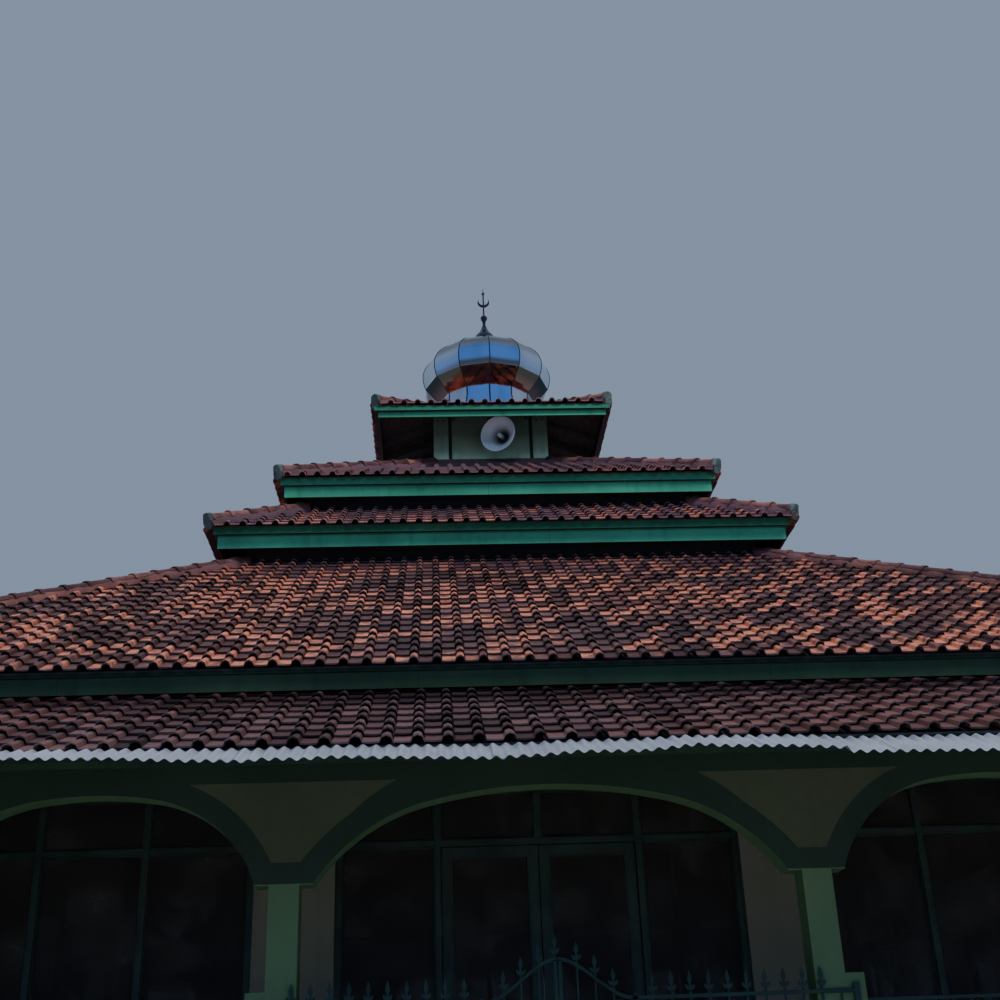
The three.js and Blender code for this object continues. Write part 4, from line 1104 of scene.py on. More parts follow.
def mortar_bed(tier, draws):
    """The hip's mortar bed, laid by hand: its width and height waver along the hip."""
    step = 0.11
    stations = math.ceil(hip_length(tier) / step) + 1
    rings = []
    for k in range(stations + 1):
        wide = 0.105 + draws.uniform(-0.012, 0.012)
        high = 0.072 + draws.uniform(-0.006, 0.006)
        y = hip_start(tier) + 0.02 + k * step
        rings.append([(-wide, y, -0.05), (-wide, y, 0.025), (-wide * 0.72, y, high),
                      (wide * 0.72, y, high), (wide, y, 0.025), (wide, y, -0.05)])
    shape = Shape()
    shape.skin(rings)
    return shape.mesh("mortar_bed")


def hip_plug(tier):
    """The closed end of a hip: the outline of the bed and cap, as one lump of mortar."""
    half = [(0.050, -0.075), (0.098, 0.040), (0.090, 0.098), (0.066, 0.128), (0.034, 0.144),
            (0.0, FULL_CREST)]
    outline = [*half, *[(-x, z) for x, z in reversed(half[:-1])]]
    shape = Shape()
    start = hip_start(tier)
    shape.plate(outline, start, start + 0.06)
    return shape.mesh("hip_plug")


def roof_deck(tier):
    """Boards under the tiles, in place of the tier's shell."""
    under, over = -ROOF_THICK, -0.042

    def at(half, lift):
        return half, tile_z(tier, half) + lift

    edge, top = tier.board + 0.002, max(tier.top + WALL_GAP, 0.30)
    profile = [at(edge, under), at(edge, over), at(top, over), at(top, under)]
    shape = Shape()
    square_ring(shape, profile)
    return shape


def rafter_rows(tier, spacing=0.6, width=0.05, depth=0.10):
    """Rafters under the eaves of all four sides."""
    rows = []
    for inner, outer in tier.rafters:
        count = 2 * math.floor((inner - 0.15) / spacing) + 1
        foot = tile_z(tier, outer) - ROOF_THICK - 0.0005
        top = tile_z(tier, inner) - ROOF_THICK - 0.0005
        shape = Shape()
        rings = []
        for y, z in ((-outer, foot), (-inner, top)):
            rings.append([(0, y, z), (width, y, z), (width, y, z - depth), (0, y, z - depth)])
        shape.skin(rings)
        row = rows_of_copies(shape.mesh("rafter"), "timber", count, (spacing, 0, 0))
        row.transform(Matrix.Translation((-(count - 1) * spacing / 2 - width / 2, 0, 0)))
        rows.append(four_sides(row))
    return rows


# Arcade
def arch_form(half_span):
    """Radii of the three-centred arch, the way between their centres, and the angles where the
    arcs meet and where the haunch starts."""
    crown_r, haunch_r = half_span * CROWN_RADIUS_RATIO, half_span * HAUNCH_RADIUS_RATIO
    link = crown_r - haunch_r
    drop = crown_r - (ARCH_CROWN - ARCH_SPRING)
    reach, lean = math.hypot(half_span, drop), math.atan2(half_span, drop)
    meet = lean - math.acos((link ** 2 + reach ** 2 - haunch_r ** 2) / (2 * link * reach))
    foot = lean + math.acos((haunch_r ** 2 + reach ** 2 - link ** 2) / (2 * haunch_r * reach))
    return crown_r, haunch_r, link, meet, foot


def arch_curve(centre, half_span, steps=14):
    """Points of the arch from its right springing to its left one."""
    crown_r, haunch_r, link, meet, foot = arch_form(half_span)
    centre_z = ARCH_CROWN - crown_r
    half = []
    for k in range(steps):
        a = foot + (meet - foot) * k / steps
        half.append((link * math.sin(meet) + haunch_r * math.sin(a),
                     centre_z + link * math.cos(meet) + haunch_r * math.cos(a)))
    for k in range(steps):
        a = meet * (1 - k / steps)
        half.append((crown_r * math.sin(a), centre_z + crown_r * math.cos(a)))
    right = [(centre + x, z) for x, z in half]
    left = [(centre - x, z) for x, z in reversed(half)]
    return [*right, (centre, ARCH_CROWN), *left]


def arch_reach(half_span, z, band):
    """Half-width, at height z, of the arch's edge moved outwards by a band."""
    crown_r, haunch_r, link, meet, _ = arch_form(half_span)
    centre_z = ARCH_CROWN - crown_r
    haunch_x = link * math.sin(meet)
    haunch_z = centre_z + link * math.cos(meet)
    cosine = (z - haunch_z) / (haunch_r + band)
    if cosine < math.cos(meet):
        return haunch_x + (haunch_r + band) * math.sin(math.acos(max(-1.0, cosine)))
    return (crown_r + band) * math.sin(math.acos(min(1.0, (z - centre_z) / (crown_r + band))))


def column_centres():
    """Middles of the six columns along one side."""
    corner = ARCADE_FACE - COLUMN_WIDTH / 2
    middle = (corner + GATE_COLUMN_X) / 2
    return [-corner, -middle, -GATE_COLUMN_X, GATE_COLUMN_X, middle, corner]


def arcade_piece(side):
    """One side of the arcade: columns, capitals, arches, and the wall up to the roof. The front
    and the back have the corner columns."""
    corners = side in ("front", "back")
    centres = column_centres()
    end, foot = (ARCADE_FACE, FLOOR_TOP) if corners else (ARCADE_BACK, CAPITAL_Z)
    under = tile_z(VERANDA, ARCADE_FACE) - ROOF_THICK - 0.001
    points = [(-end, foot), (-end, under + 0.3), (end, under + 0.3), (end, foot)]
    for i in range(len(centres) - 1, 0, -1):
        right, left = centres[i] - COLUMN_WIDTH / 2, centres[i - 1] + COLUMN_WIDTH / 2
        if corners or i < len(centres) - 1:
            points += [(right, FLOOR_TOP), (right, CAPITAL_Z)]
        points.append((right - CAPITAL_STEP, CAPITAL_Z))
        points += arch_curve((left + right) / 2, (right - left) / 2 - CAPITAL_STEP)
        points.append((left + CAPITAL_STEP, CAPITAL_Z))
        if corners or i > 1:
            points += [(left, CAPITAL_Z), (left, FLOOR_TOP)]
    shape = Shape()
    shape.plate(points, -ARCADE_FACE, -ARCADE_BACK)
    shape.trim([((0, -ARCADE_FACE, under), (0, -VERANDA.rise, 1))])
    made = shape.side_piece("arcade_masonry", side, "green_plaster", "arcade_plaster", smooth=20)
    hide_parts(f"arcade_{side}")


def spandrel_outlines(foot=2.51, top=3.17, steps=12):
    """Outlines of the painted panels over the columns, with curved sides along the arches."""
    centres = column_centres()

    def reach(half_span, z):
        over_wide_arch = 0.07 if half_span > 1.5 else 0.0
        band = BAND_WIDTH + over_wide_arch * max(0.0, (z - 2.9) / 0.27)
        return arch_reach(half_span, z, band)

    heights = [foot + (top - foot) * k / steps for k in range(steps + 1)]
    bays = []
    for left, right in zip(centres, centres[1:]):
        half_span = (right - left - COLUMN_WIDTH) / 2 - CAPITAL_STEP
        bays.append(((left + right) / 2, half_span))
    outlines = []
    for (left_at, left_span), (right_at, right_span) in zip(bays, bays[1:]):
        left = [(left_at + reach(left_span, z), z) for z in heights]
        right = [(right_at - reach(right_span, z), z) for z in heights]
        outlines.append([*left, *reversed(right)])
    edge = ARCADE_FACE - 0.10
    at, span = bays[-1]
    last = [(at + reach(span, z), z) for z in heights]
    outlines.append([*last, (edge, top), (edge, foot)])
    outlines.append([(-x, z) for x, z in outlines[-1]][::-1])
    return outlines


# Windows and doors
def window_frame(shape, uprights, rails, front, depth):
    """Bars between the outer ones of the given centres, uprights over the full height."""
    low, high = rails[0] - BAR / 2, rails[-1] + BAR / 2
    for x in uprights:
        shape.block(x - BAR / 2, x + BAR / 2, -front, -front + depth, low, high)
    for left, right in zip(uprights, uprights[1:]):
        for z in rails:
            shape.block(left + BAR / 2, right - BAR / 2, -front + RAIL_INSET,
                        -front + depth - RAIL_INSET, z - BAR / 2, z + BAR / 2)


def lights_between(uprights, rails):
    """The openings (x0, x1, z0, z1) between the bars."""
    found = []
    for left, right in zip(uprights, uprights[1:]):
        for low, high in zip(rails, rails[1:]):
            found.append((left + BAR / 2, right - BAR / 2, low + BAR / 2, high - BAR / 2))
    return found


def glazing(frame_shape, glass_shape, light, pane_y, bead=0.014, proud=0.016):
    """A pane and the beads that hold it in its light, inside and outside."""
    x0, x1, z0, z1 = light
    if glass_shape:
        glass_shape.block(x0, x1, pane_y - PANE / 2, pane_y + PANE / 2, z0, z1)
    for y0, y1 in ((pane_y - PANE / 2 - proud, pane_y - PANE / 2),
                   (pane_y + PANE / 2, pane_y + PANE / 2 + proud)):
        for a, b, c, d in ((x0, x0 + bead, z0, z1), (x1 - bead, x1, z0, z1),
                           (x0 + bead, x1 - bead, z0, z0 + bead),
                           (x0 + bead, x1 - bead, z1 - bead, z1)):
            frame_shape.block(a, b, y0, y1, c, d)


def front_window_pieces(side):
    """Frame and panes of a front window, in two rows of lights."""
    sign = 1 if side == "right" else -1
    inner, outer = WINDOW_LOW.x, WINDOW_HIGH.x
    step = (outer - inner - BAR) / LIGHTS_ACROSS
    uprights = sorted(sign * (inner + BAR / 2 + k * step) for k in range(LIGHTS_ACROSS + 1))
    rails = [WINDOW_LOW.z + BAR / 2, TRANSOM_Z, WINDOW_HIGH.z - BAR / 2]
    bars, glass = Shape(), Shape()
    window_frame(bars, uprights, rails, FRAME_FRONT, FRAME_DEPTH)
    for light in lights_between(uprights, rails):
        glazing(bars, glass, light, -FRAME_FRONT + FRAME_DEPTH / 2)
    joinery = bars.piece(f"front_window_frame_{side}", "frame_paint", "joinery", bevel=JOINERY_EDGE)
    glass.piece(f"front_window_panes_{side}", "glass", "glass")
    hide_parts(f"front_window_{side}")


def screen_pieces():
    """Entrance screen: side lights, top lights and the frame of the doorway."""
    half, post = SCREEN_HALF, DOOR_POST_X
    outer = half - BAR / 2
    head = WINDOW_HIGH.z - BAR / 2
    bars, glass = Shape(), Shape()
    front, back = -FRAME_FRONT, -FRAME_FRONT + FRAME_DEPTH
    for x in (-outer, -post, post, outer):
        bars.block(x - BAR / 2, x + BAR / 2, front, back, FLOOR_TOP, head + BAR / 2)
    uprights = [-outer, -post, 0.0, post, outer]
    bars.block(-BAR / 2, BAR / 2, front, back, TRANSOM_Z + BAR / 2, head - BAR / 2)
    for left, right in zip(uprights, uprights[1:]):
        spans = (left + BAR / 2, right - BAR / 2)
        for z in (TRANSOM_Z, head):
            bars.block(*spans, front + RAIL_INSET, back - RAIL_INSET,
                       z - BAR / 2, z + BAR / 2)
        glazing(bars, glass, (*spans, TRANSOM_Z + BAR / 2, head - BAR / 2), front + FRAME_DEPTH / 2)
    bars.block(-BAR / 2, BAR / 2, front + RAIL_INSET, back - RAIL_INSET,
               TRANSOM_Z - BAR / 2, TRANSOM_Z + BAR / 2)
    for spans in ((-outer + BAR / 2, -post - BAR / 2), (post + BAR / 2, outer - BAR / 2)):
        bars.block(*spans, front + RAIL_INSET, back - RAIL_INSET, FLOOR_TOP, FLOOR_TOP + BAR)
        glazing(bars, glass, (*spans, FLOOR_TOP + BAR, TRANSOM_Z - BAR / 2),
                front + FRAME_DEPTH / 2)
    for z in DOOR_HINGES:
        for sign in (1, -1):
            hinge(bars, sign, door_axis(), z, -HINGE_FLAP, back)
    joinery = bars.piece("entrance_screen_frame", "frame_paint", "joinery", bevel=JOINERY_EDGE)
    glass.piece("entrance_screen_panes", "glass", "glass")
    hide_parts("entrance_screen")


def door_axis():
    """X and Y of the left door's hinge line."""
    clear = -(DOOR_POST_X - BAR / 2) + DOOR_GAP / 2
    return clear, -FRAME_FRONT + FRAME_DEPTH + HINGE_RADIUS + BARREL_GAP


def hinge(shape, sign, axis, z, flap, face, moving=False):
    """A knuckle and the flap that holds it, below height z, or above it on the moving side."""
    z0, z1 = z - HINGE_HEIGHT, z
    if moving:
        z0, z1 = z + KNUCKLE_GAP, z + KNUCKLE_GAP + HINGE_HEIGHT
    x, y = sign * axis[0], axis[1]
    profile = [(0, z0), (HINGE_RADIUS, z0), (HINGE_RADIUS, z1), (0, z1)]
    shape.turned(profile, 12, place=Matrix.Translation((x, y, 0)))
    left, right = sorted((x, sign * (axis[0] + flap)))
    shape.block(left, right, face - 0.001, y, z0, z1)


def door_leaf_pieces(side):
    """Frame and panes of one door leaf, with its knuckles."""
    sign = 1 if side == "right" else -1
    outer, inner = DOOR_POST_X - BAR / 2 - DOOR_GAP, MEETING_GAP
    z0, z1 = FLOOR_TOP + DOOR_CLEARANCE, TRANSOM_Z - BAR / 2 - DOOR_GAP
    back = -FRAME_FRONT + FRAME_DEPTH
    front = back - DOOR_DEPTH
    bars, glass = Shape(), Shape()
    bars.block(*span(sign, outer - DOOR_STILE, outer), front, back, z0, z1)
    bars.block(*span(sign, inner, inner + DOOR_STILE), front, back, z0, z1)
    clear = span(sign, inner + DOOR_STILE, outer - DOOR_STILE)
    rails = ((z0, z0 + 2 * DOOR_STILE),
             (DOOR_RAIL_Z - DOOR_STILE / 2, DOOR_RAIL_Z + DOOR_STILE / 2), (z1 - DOOR_STILE, z1))
    for low, high in rails:
        bars.block(*clear, front + RAIL_INSET, back - RAIL_INSET, low, high)
    for (_, low), (high, _) in zip(rails, rails[1:]):
        glazing(bars, glass, (*clear, low, high), (front + back) / 2, bead=0.016, proud=0.012)
    for z in DOOR_HINGES:
        hinge(bars, -sign, door_axis(), z, HINGE_FLAP, back, moving=True)
    body = f"door_{side}"
    joinery = bars.piece(f"door_leaf_{side}", "frame_paint", "joinery", body, bevel=0.002)
    glass.piece(f"door_panes_{side}", "glass", "glass", body)
    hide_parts(f"entrance_door_{side}")


def hall_side_windows(side):
    """Frames of the three windows of one wall, seated on that wall's sheet of glass."""
    bars = Shape()
    low, high = WINDOW_LOW.z, WINDOW_HIGH.z
    rails = [low + BAR / 2, TRANSOM_Z, high - BAR / 2]
    front = HALL_INNER + FRAME_DEPTH
    for x0, x1 in ((-WINDOW_HIGH.x, -WINDOW_LOW.x), (-SCREEN_HALF, SCREEN_HALF),
                   (WINDOW_LOW.x, WINDOW_HIGH.x)):
        step = (x1 - x0 - BAR) / LIGHTS_ACROSS
        uprights = [x0 + BAR / 2 + k * step for k in range(LIGHTS_ACROSS + 1)]
        window_frame(bars, uprights, rails, front, FRAME_DEPTH)
        for light in lights_between(uprights, rails):
            glazing(bars, None, light, -HALL_INNER - PANE / 2 - 0.004)
    bars.side_piece("window_frames", side, "frame_paint", "joinery", bevel=JOINERY_EDGE)


# Fences
def spear_outline(height):
    """A trefoil spear point: a stem, two side leaves and a pointed middle leaf."""
    k = height / SPEAR
    half = [(0.006, 0.0), (0.006, 0.030), (0.015, 0.026), (0.032, 0.038), (0.041, 0.060),
            (0.034, 0.074), (0.022, 0.068), (0.014, 0.054), (0.008, 0.074), (0.017, 0.098),
            (0.019, 0.116), (0.011, 0.145), (0.0, 0.180)]
    right = [(x * min(1.0, k + 0.15), z * k) for x, z in half]
    return [*right, *[(-x, z) for x, z in reversed(right[:-1])]]


def fence_bar(shape, x, foot, top, tip, sizes):
    """A square bar with a collar and a spear point over the rail."""
    middle, half = FENCE_MIDDLE_Y, sizes.bar / 2
    shape.block(x - half, x + half, middle - half, middle + half, foot, top)
    if tip:
        place = Matrix.Translation((x, 0, top))
        shape.plate(spear_outline(tip), middle - 0.005, middle + 0.005, place)
        shape.block(x - half - 0.003, x + half + 0.003, middle - half - 0.003,
                    middle + half + 0.003, top + 0.0005, top + 0.014)


def bar_places(x0, x1, pitch, bar):
    """Middles of the bars from x0 to x1, at the nearest even pitch."""
    count = max(2, round((x1 - x0) / pitch))
    return [x0 + bar / 2 + (x1 - x0 - bar) * k / count for k in range(count + 1)]


def rail_between(shape, x0, x1, z, front=-FENCE_FRONT):
    shape.block(x0, x1, front, front + FENCE_DEPTH, z, z + RAIL)


def gate_fence_piece(side, sizes):
    """The fixed fence between a gate post and the column beside it."""
    sign = 1 if side == "right" else -1
    x0, x1 = span(sign, GATE_HALF, FENCE_END_X)
    shape = Shape()
    for z in (FENCE_BOTTOM, FENCE_SECOND, FENCE_TOP - RAIL):
        rail_between(shape, x0, x1, z)
    for k in range(1, math.floor((FENCE_END_X - 0.06 - GATE_HALF) / sizes.pitch) + 1):
        x = GATE_HALF + k * sizes.pitch
        if x < GATE_COLUMN_X - 0.06:
            fence_bar(shape, sign * x, PICKET_FOOT, FENCE_TOP, SPEAR, sizes)
        else:
            fence_bar(shape, sign * x, PICKET_FOOT, FENCE_TOP - RAIL, None, sizes)
    post = span(sign, GATE_HALF, GATE_HALF + RAIL)
    shape.block(*post, -FENCE_FRONT, FENCE_BACK_Y, FLOOR_TOP, FENCE_TOP + 0.02)
    end = span(sign, FENCE_END_X - 0.05, FENCE_END_X)
    shape.block(*end, -FENCE_FRONT - 0.004, FENCE_BACK_Y + 0.004, FENCE_BOTTOM - 0.01,
                FENCE_TOP + 0.045)
    for z in (FENCE_BOTTOM, FENCE_TOP - RAIL):
        shape.block(*span(sign, GATE_COLUMN_X - BAR, GATE_COLUMN_X + BAR), FENCE_BACK_Y - 0.005,
                    -ARCADE_FACE, z + 0.005, z + RAIL - 0.005)
    for z in GATE_HINGES:
        hinge(shape, sign, gate_axis(), z, HINGE_FLAP, FENCE_BACK_Y)
    made = shape.piece(f"gate_railing_{side}", "fence_paint", "fence", bevel=IRON_EDGE)
    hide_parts(f"gate_fence_{side}")


def gate_axis():
    """X and Y of the right leaf's hinge line."""
    return GATE_HALF - GATE_CLEAR / 2, FENCE_BACK_Y + HINGE_RADIUS + BARREL_GAP


def gate_rail_z(x):
    """A low ogee that rises to a point where the leaves meet."""
    t = 1 - min(1.0, abs(x) / GATE_HALF)
    return FENCE_TOP + (GATE_PEAK - FENCE_TOP) * t * t * (3 - 2 * t)


def gate_leaf_piece(side, sizes):
    """One leaf: rails, an ogee top rail, spear-topped bars and the knuckles."""
    sign = 1 if side == "right" else -1
    meeting, outer = GATE_CLEAR / 2, GATE_HALF - GATE_CLEAR
    x0, x1 = span(sign, meeting, outer)
    shape = Shape()
    for z in (FENCE_BOTTOM, FENCE_SECOND):
        rail_between(shape, x0, x1, z)
    steps = 20
    curve = [x0 + (x1 - x0) * k / steps for k in range(steps + 1)]
    over = [(x, gate_rail_z(x)) for x in curve]
    under = [(x, gate_rail_z(x) - RAIL) for x in reversed(curve)]
    shape.plate([*over, *under], -FENCE_FRONT, FENCE_BACK_Y)
    for x in bar_places(x0, x1, sizes.pitch, sizes.bar)[1:-1]:
        fence_bar(shape, x, PICKET_FOOT, gate_rail_z(x), GATE_SPEAR, sizes)
    for stile in ((meeting, meeting + 0.03), (outer - 0.022, outer)):
        left, right = span(sign, *stile)
        top = min(gate_rail_z(left), gate_rail_z(right)) - RAIL / 2
        shape.block(left, right, -FENCE_FRONT, FENCE_BACK_Y, FENCE_BOTTOM, top)
    if side == "left":
        lock_box(shape)
        fence_bar(shape, -meeting - 0.015, GATE_PEAK - 0.1, GATE_PEAK, SPEAR, sizes)
    for z in GATE_HINGES:
        hinge(shape, sign, gate_axis(), z, -HINGE_FLAP, FENCE_BACK_Y, moving=True)
    made = shape.piece(f"gate_grille_{side}", "fence_paint", "fence", f"gate_{side}",
                       bevel=IRON_EDGE)
    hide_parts(f"gate_leaf_{side}")


def lock_box(shape):
    """A lock plate with a raised box and a round cylinder for the key."""
    edge = -GATE_CLEAR / 2
    shape.block(edge - 0.09, edge, -FENCE_FRONT - 0.003, FENCE_BACK_Y, 1.13, 1.25)
    shape.block(edge - 0.082, edge - 0.008, -FENCE_FRONT - 0.012, -FENCE_FRONT, 1.138, 1.242)
    turn = Matrix.Translation((edge - 0.045, -FENCE_FRONT - 0.0115, 1.18))
    shape.turned([(0, 0), (0.011, 0), (0.011, 0.004), (0, 0.004)], 16,
                 place=turn @ Matrix.Rotation(QUARTER, 4, "X"))


def picket_row(sizes, places, y):
    """Plain square bars at the places, with small weld beads at the rails."""
    shape = Shape()
    half = sizes.bar / 2
    bead = half * 1.5
    shape.block(-half, half, -half, half, PICKET_FOOT, PICKET_TOP)
    for z in (PICKET_FOOT + 0.003, PICKET_TOP - 0.003):
        shape.turned([(0, z - 0.003), (bead, z - 0.002), (bead, z + 0.002), (0, z + 0.003)], 8)
    row = rows_of_copies(shape.mesh("picket"), "fence", len(places),
                         (places[1] - places[0], 0, 0))
    row.transform(Matrix.Translation((places[0], y, 0)))
    return row


def bay_fence_piece(reach, side, sizes):
    """A fence between two columns of the front: rails, feet and bars at the full pitch."""
    node = f"bay_fence_{reach}_{side}"
    low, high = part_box(node)
    shape = Shape()
    for z in (FENCE_BOTTOM, PICKET_TOP):
        rail_between(shape, low.x, high.x, z, low.y)
    for x in (low.x, high.x - sizes.bar):
        shape.block(x, x + sizes.bar, low.y + 0.001, high.y - 0.001, FLOOR_TOP,
                    PICKET_TOP + RAIL - 0.001)
    rails = shape.piece(f"bay_rails_{reach}_{side}", "fence_paint", "fence", bevel=IRON_EDGE)
    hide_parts(node)
    places = bar_places(low.x, high.x, sizes.pitch, sizes.bar)[1:-1]
    pickets = picket_row(sizes, places, (low.y + high.y) / 2)
    piece_of(pickets, f"bay_bars_{reach}_{side}", "fence_paint", "fence")


def side_fence_piece(side, sizes):
    """The fence along a whole side, with a bracket at each column."""
    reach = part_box("fence_run_back")[1].x
    shape = Shape()
    for z in (FENCE_BOTTOM, PICKET_TOP):
        rail_between(shape, -reach, reach, z)
    for x in column_centres():
        shape.block(x - 0.04, x + 0.04, FENCE_BACK_Y - 0.005, -ARCADE_FACE,
                    SIDE_FENCE_TOP - 0.019, SIDE_FENCE_TOP - 0.005)
    made = shape.side_piece("run_rails", side, "fence_paint", "fence", bevel=IRON_EDGE)
    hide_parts(f"fence_run_{side}")
    places = bar_places(-reach, reach, sizes.pitch, sizes.bar)
    pickets = picket_row(sizes, places, FENCE_MIDDLE_Y)
    piece_of(turned_about(pickets, SIDES.index(side)), f"run_bars_{side}", "fence_paint", "fence")


# Corrugated strip
def lip_lift(x):
    """Height of the strip's lip over its true line, at distance x along the eave."""
    for (x0, z0), (x1, z1) in zip(LIP_LINE, LIP_LINE[1:]):
        if x0 <= x < x1:
            return z0 + (z1 - z0) * (x - x0) / (x1 - x0)
    return 0.0


def strip_sheets(sizes, draws):
    """One side of the corrugated strip: lapped sheets, each a little out of line."""
    low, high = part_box("eave_strip")
    inner = Vector((0, -VERANDA.eave - 0.002, high.z - 0.012))
    lip = Vector((0, 0.006 - high.x, low.z + 0.012))
    fall = (lip - inner).normalized()
    lift = Vector((0, -fall.z, fall.y)) * -1
    shape = Shape()
    count = math.ceil(2 * high.x / sizes.sheet)
    waves = round(sizes.sheet / sizes.pitch)
    for k in range(count):
        start = -high.x + k * sizes.sheet
        sag = draws.uniform(-0.003, 0.003)
        lean = draws.uniform(-0.003, 0.003)
        overlap = 0.0012 * (k % 2)
        sections = []
        for end, share in ((inner, 0.5), ((inner + lip) / 2, 0.75), (lip, 1.0)):
            section = []
            for i in range((waves + 1) * POINTS_PER_WAVE + 1):
                x = start + i * sizes.pitch / POINTS_PER_WAVE
                wave = math.sin(2 * math.pi * i / POINTS_PER_WAVE) * sizes.height / 2
                tilt = (sag + lean * (x - start) / sizes.sheet + lip_lift(x)) * share
                section.append(end + lift * (wave + overlap) + Vector((x, 0, tilt)))
            sections.append(section)
        shell_strip(shape.bm, sections, STRIP_SHEET)
    shape.trim(MITRES)
    return shape.mesh("strip_side")


# Dome
def dome_profile(steps=18):
    """Half section of the dome's outside: two flat lower belts, a bowed one, then an ellipse."""
    lower = [(0.805, DOME_FOOT_Z), (0.93, 11.55)]
    for t in (1.0, 0.75, 0.5, 0.25, 0.0):
        lower.append((DOME_RADIUS - 0.045 * t * t, DOME_EQUATOR - DOME_BELT * t))
    end = math.acos(DOME_CAP_RADIUS / DOME_RADIUS)
    upper = []
    for k in range(1, steps + 1):
        a = end * k / steps
        upper.append((DOME_RADIUS * math.cos(a), DOME_EQUATOR + DOME_RISE * math.sin(a)))
    return [*lower, *upper]


def seam_strips(shape, profile, width=0.011, proud=0.005):
    """Raised seams along the dome's edges."""
    for k in range(DOME_SIDES):
        a = DOME_PHASE + 2 * math.pi * k / DOME_SIDES
        out = Vector((math.sin(a), -math.cos(a), 0))
        side = Vector((math.cos(a), math.sin(a), 0))
        rings = []
        for i, (r, z) in enumerate(profile):
            before, after = profile[max(0, i - 1)], profile[min(len(profile) - 1, i + 1)]
            along = Vector((after[0] - before[0], after[1] - before[1])).normalized()
            normal = out * along.y + Vector((0, 0, -along.x))
            middle = out * r + Vector((0, 0, z))
            sunk = normal * 0.004
            rings.append([middle + side * width - sunk,
                          middle + side * width * 0.5 + normal * proud,
                          middle - side * width * 0.5 + normal * proud,
                          middle - side * width - sunk])
        shape.skin(rings)


# Operators
class MosqueOperator(bpy.types.Operator):
    """Base of the operators that make the mosque's pieces."""

    bl_options = {"REGISTER", "UNDO"}

    def execute(self, context):
        self.build(context.scene)
        return {"FINISHED"}


class MOSQUE_OT_stage(MosqueOperator):
    """Make the camera, the pale floor and the soft studio light"""

    bl_idname = "mosque.stage"
    bl_label = "Stage"

    def build(self, scene):
        self.camera(scene)
        self.floor()
        self.world(scene)
        lights = (
            ("sky_panel", (-6.0, 12.0, 30.0), (0.0, 0.0, 7.0), 22.0, 8000.0, (1.0, 0.97, 0.94)),
            ("front_panel", (12.0, -20.0, 30.0), (0.0, -5.0, 5.0), 9.0, 6900.0, (1.0, 0.97, 0.94)),
            ("low_panel", (-6.0, -30.0, 19.0), (0.0, 0.0, 9.5), 6.0, 900.0, (0.90, 0.98, 1.0)),
        )
        for name, place, target, size, power, colour in lights:
            self.panel(scene, name, Vector(place), Vector(target), size, power, colour)

    def camera(self, scene):
        stage = scene.mosque_stage
        data = bpy.data.cameras.new("camera")
        data.sensor_width = 36.0
        data.lens = stage.lens
        data.clip_start, data.clip_end = 0.1, 300.0
        camera = bpy.data.objects.new("camera", data)
        yaw, pitch, roll = stage.yaw, stage.pitch, stage.roll
        ahead = Vector((math.sin(yaw) * math.cos(pitch), math.cos(yaw) * math.cos(pitch),
                        math.sin(pitch)))
        level = Vector((math.cos(yaw), -math.sin(yaw), 0))
        above = level.cross(ahead)
        right = level * math.cos(roll) + above * math.sin(roll)
        up = above * math.cos(roll) - level * math.sin(roll)
        turn = Matrix((right, up, -ahead)).transposed().to_4x4()
        camera.matrix_world = Matrix.Translation(Vector(stage.place)) @ turn
        scene.collection.objects.link(camera)
        scene.camera = camera

    def floor(self):
        half = 90.0
        shape = Shape()
        shape.block(-half, half, -half, half, -0.5, -0.002)
        mesh = shape.mesh("studio_floor")
        mesh.materials.append(finish("stage"))
        floor = bpy.data.objects.new("studio_floor", mesh)
        bpy.context.scene.collection.objects.link(floor)

    def world(self, scene):
        """A soft dome of light, bluer in front of the building and dim there near the ground."""
        world = bpy.data.worlds.new("studio")
        world.use_nodes = True
        n = Nodes(world.node_tree)
        place = n.make("ShaderNodeTexCoord").outputs["Generated"]
        _, along, height = n.make("ShaderNodeSeparateXYZ", {0: place}).outputs
        ahead = n.spread(n.times(along, -1.0), -0.05, 0.45)
        share = n.times(ahead, n.spread(height, -0.05, 0.15))
        tint = n.mix(share, (0.51, 0.65, 0.90), (0.15, 0.43, 1.20))
        low = n.times(ahead, n.spread(height, 0.0, 0.18, 0.75, 0.0))
        strength = n.times(n.math("SUBTRACT", 1.0, low), 0.46)
        light = n.make("ShaderNodeBackground", {"Color": tint, "Strength": strength})
        n.make("ShaderNodeOutputWorld", {"Surface": light.outputs[0]})
        scene.world = world

    def panel(self, scene, name, place, target, size, power, colour):
        data = bpy.data.lights.new(name, "AREA")
        data.shape = "DISK"
        data.size = size
        data.energy = power
        data.color = colour
        light = bpy.data.objects.new(name, data)
        light.location = place
        light.rotation_mode = "QUATERNION"
        light.rotation_quaternion = (target - place).to_track_quat("-Z", "Y")
        light.visible_glossy = False
        scene.collection.objects.link(light)


class MOSQUE_OT_masonry(MosqueOperator):
    """Finish the floor, the arcade with its painted panels, and the hall walls"""

    bl_idname = "mosque.masonry"
    bl_label = "Masonry"

    def build(self, scene):
        dress("floor_slab", "concrete")
        for side in SIDES:
            arcade_piece(side)
            dress(f"hall_wall_{side}", "wall_plaster")
            shape = Shape()
            for outline in spandrel_outlines():
                shape.plate(outline, -ARCADE_FACE - 0.004, -ARCADE_FACE + 0.001)
            shape.side_piece("spandrel_panels", side, "green_plaster", "panel_plaster")
        for side in ("left", "right"):
            dress(f"gate_pier_{side}", "green_plaster")
        dress("inner_frame", "wall_plaster")


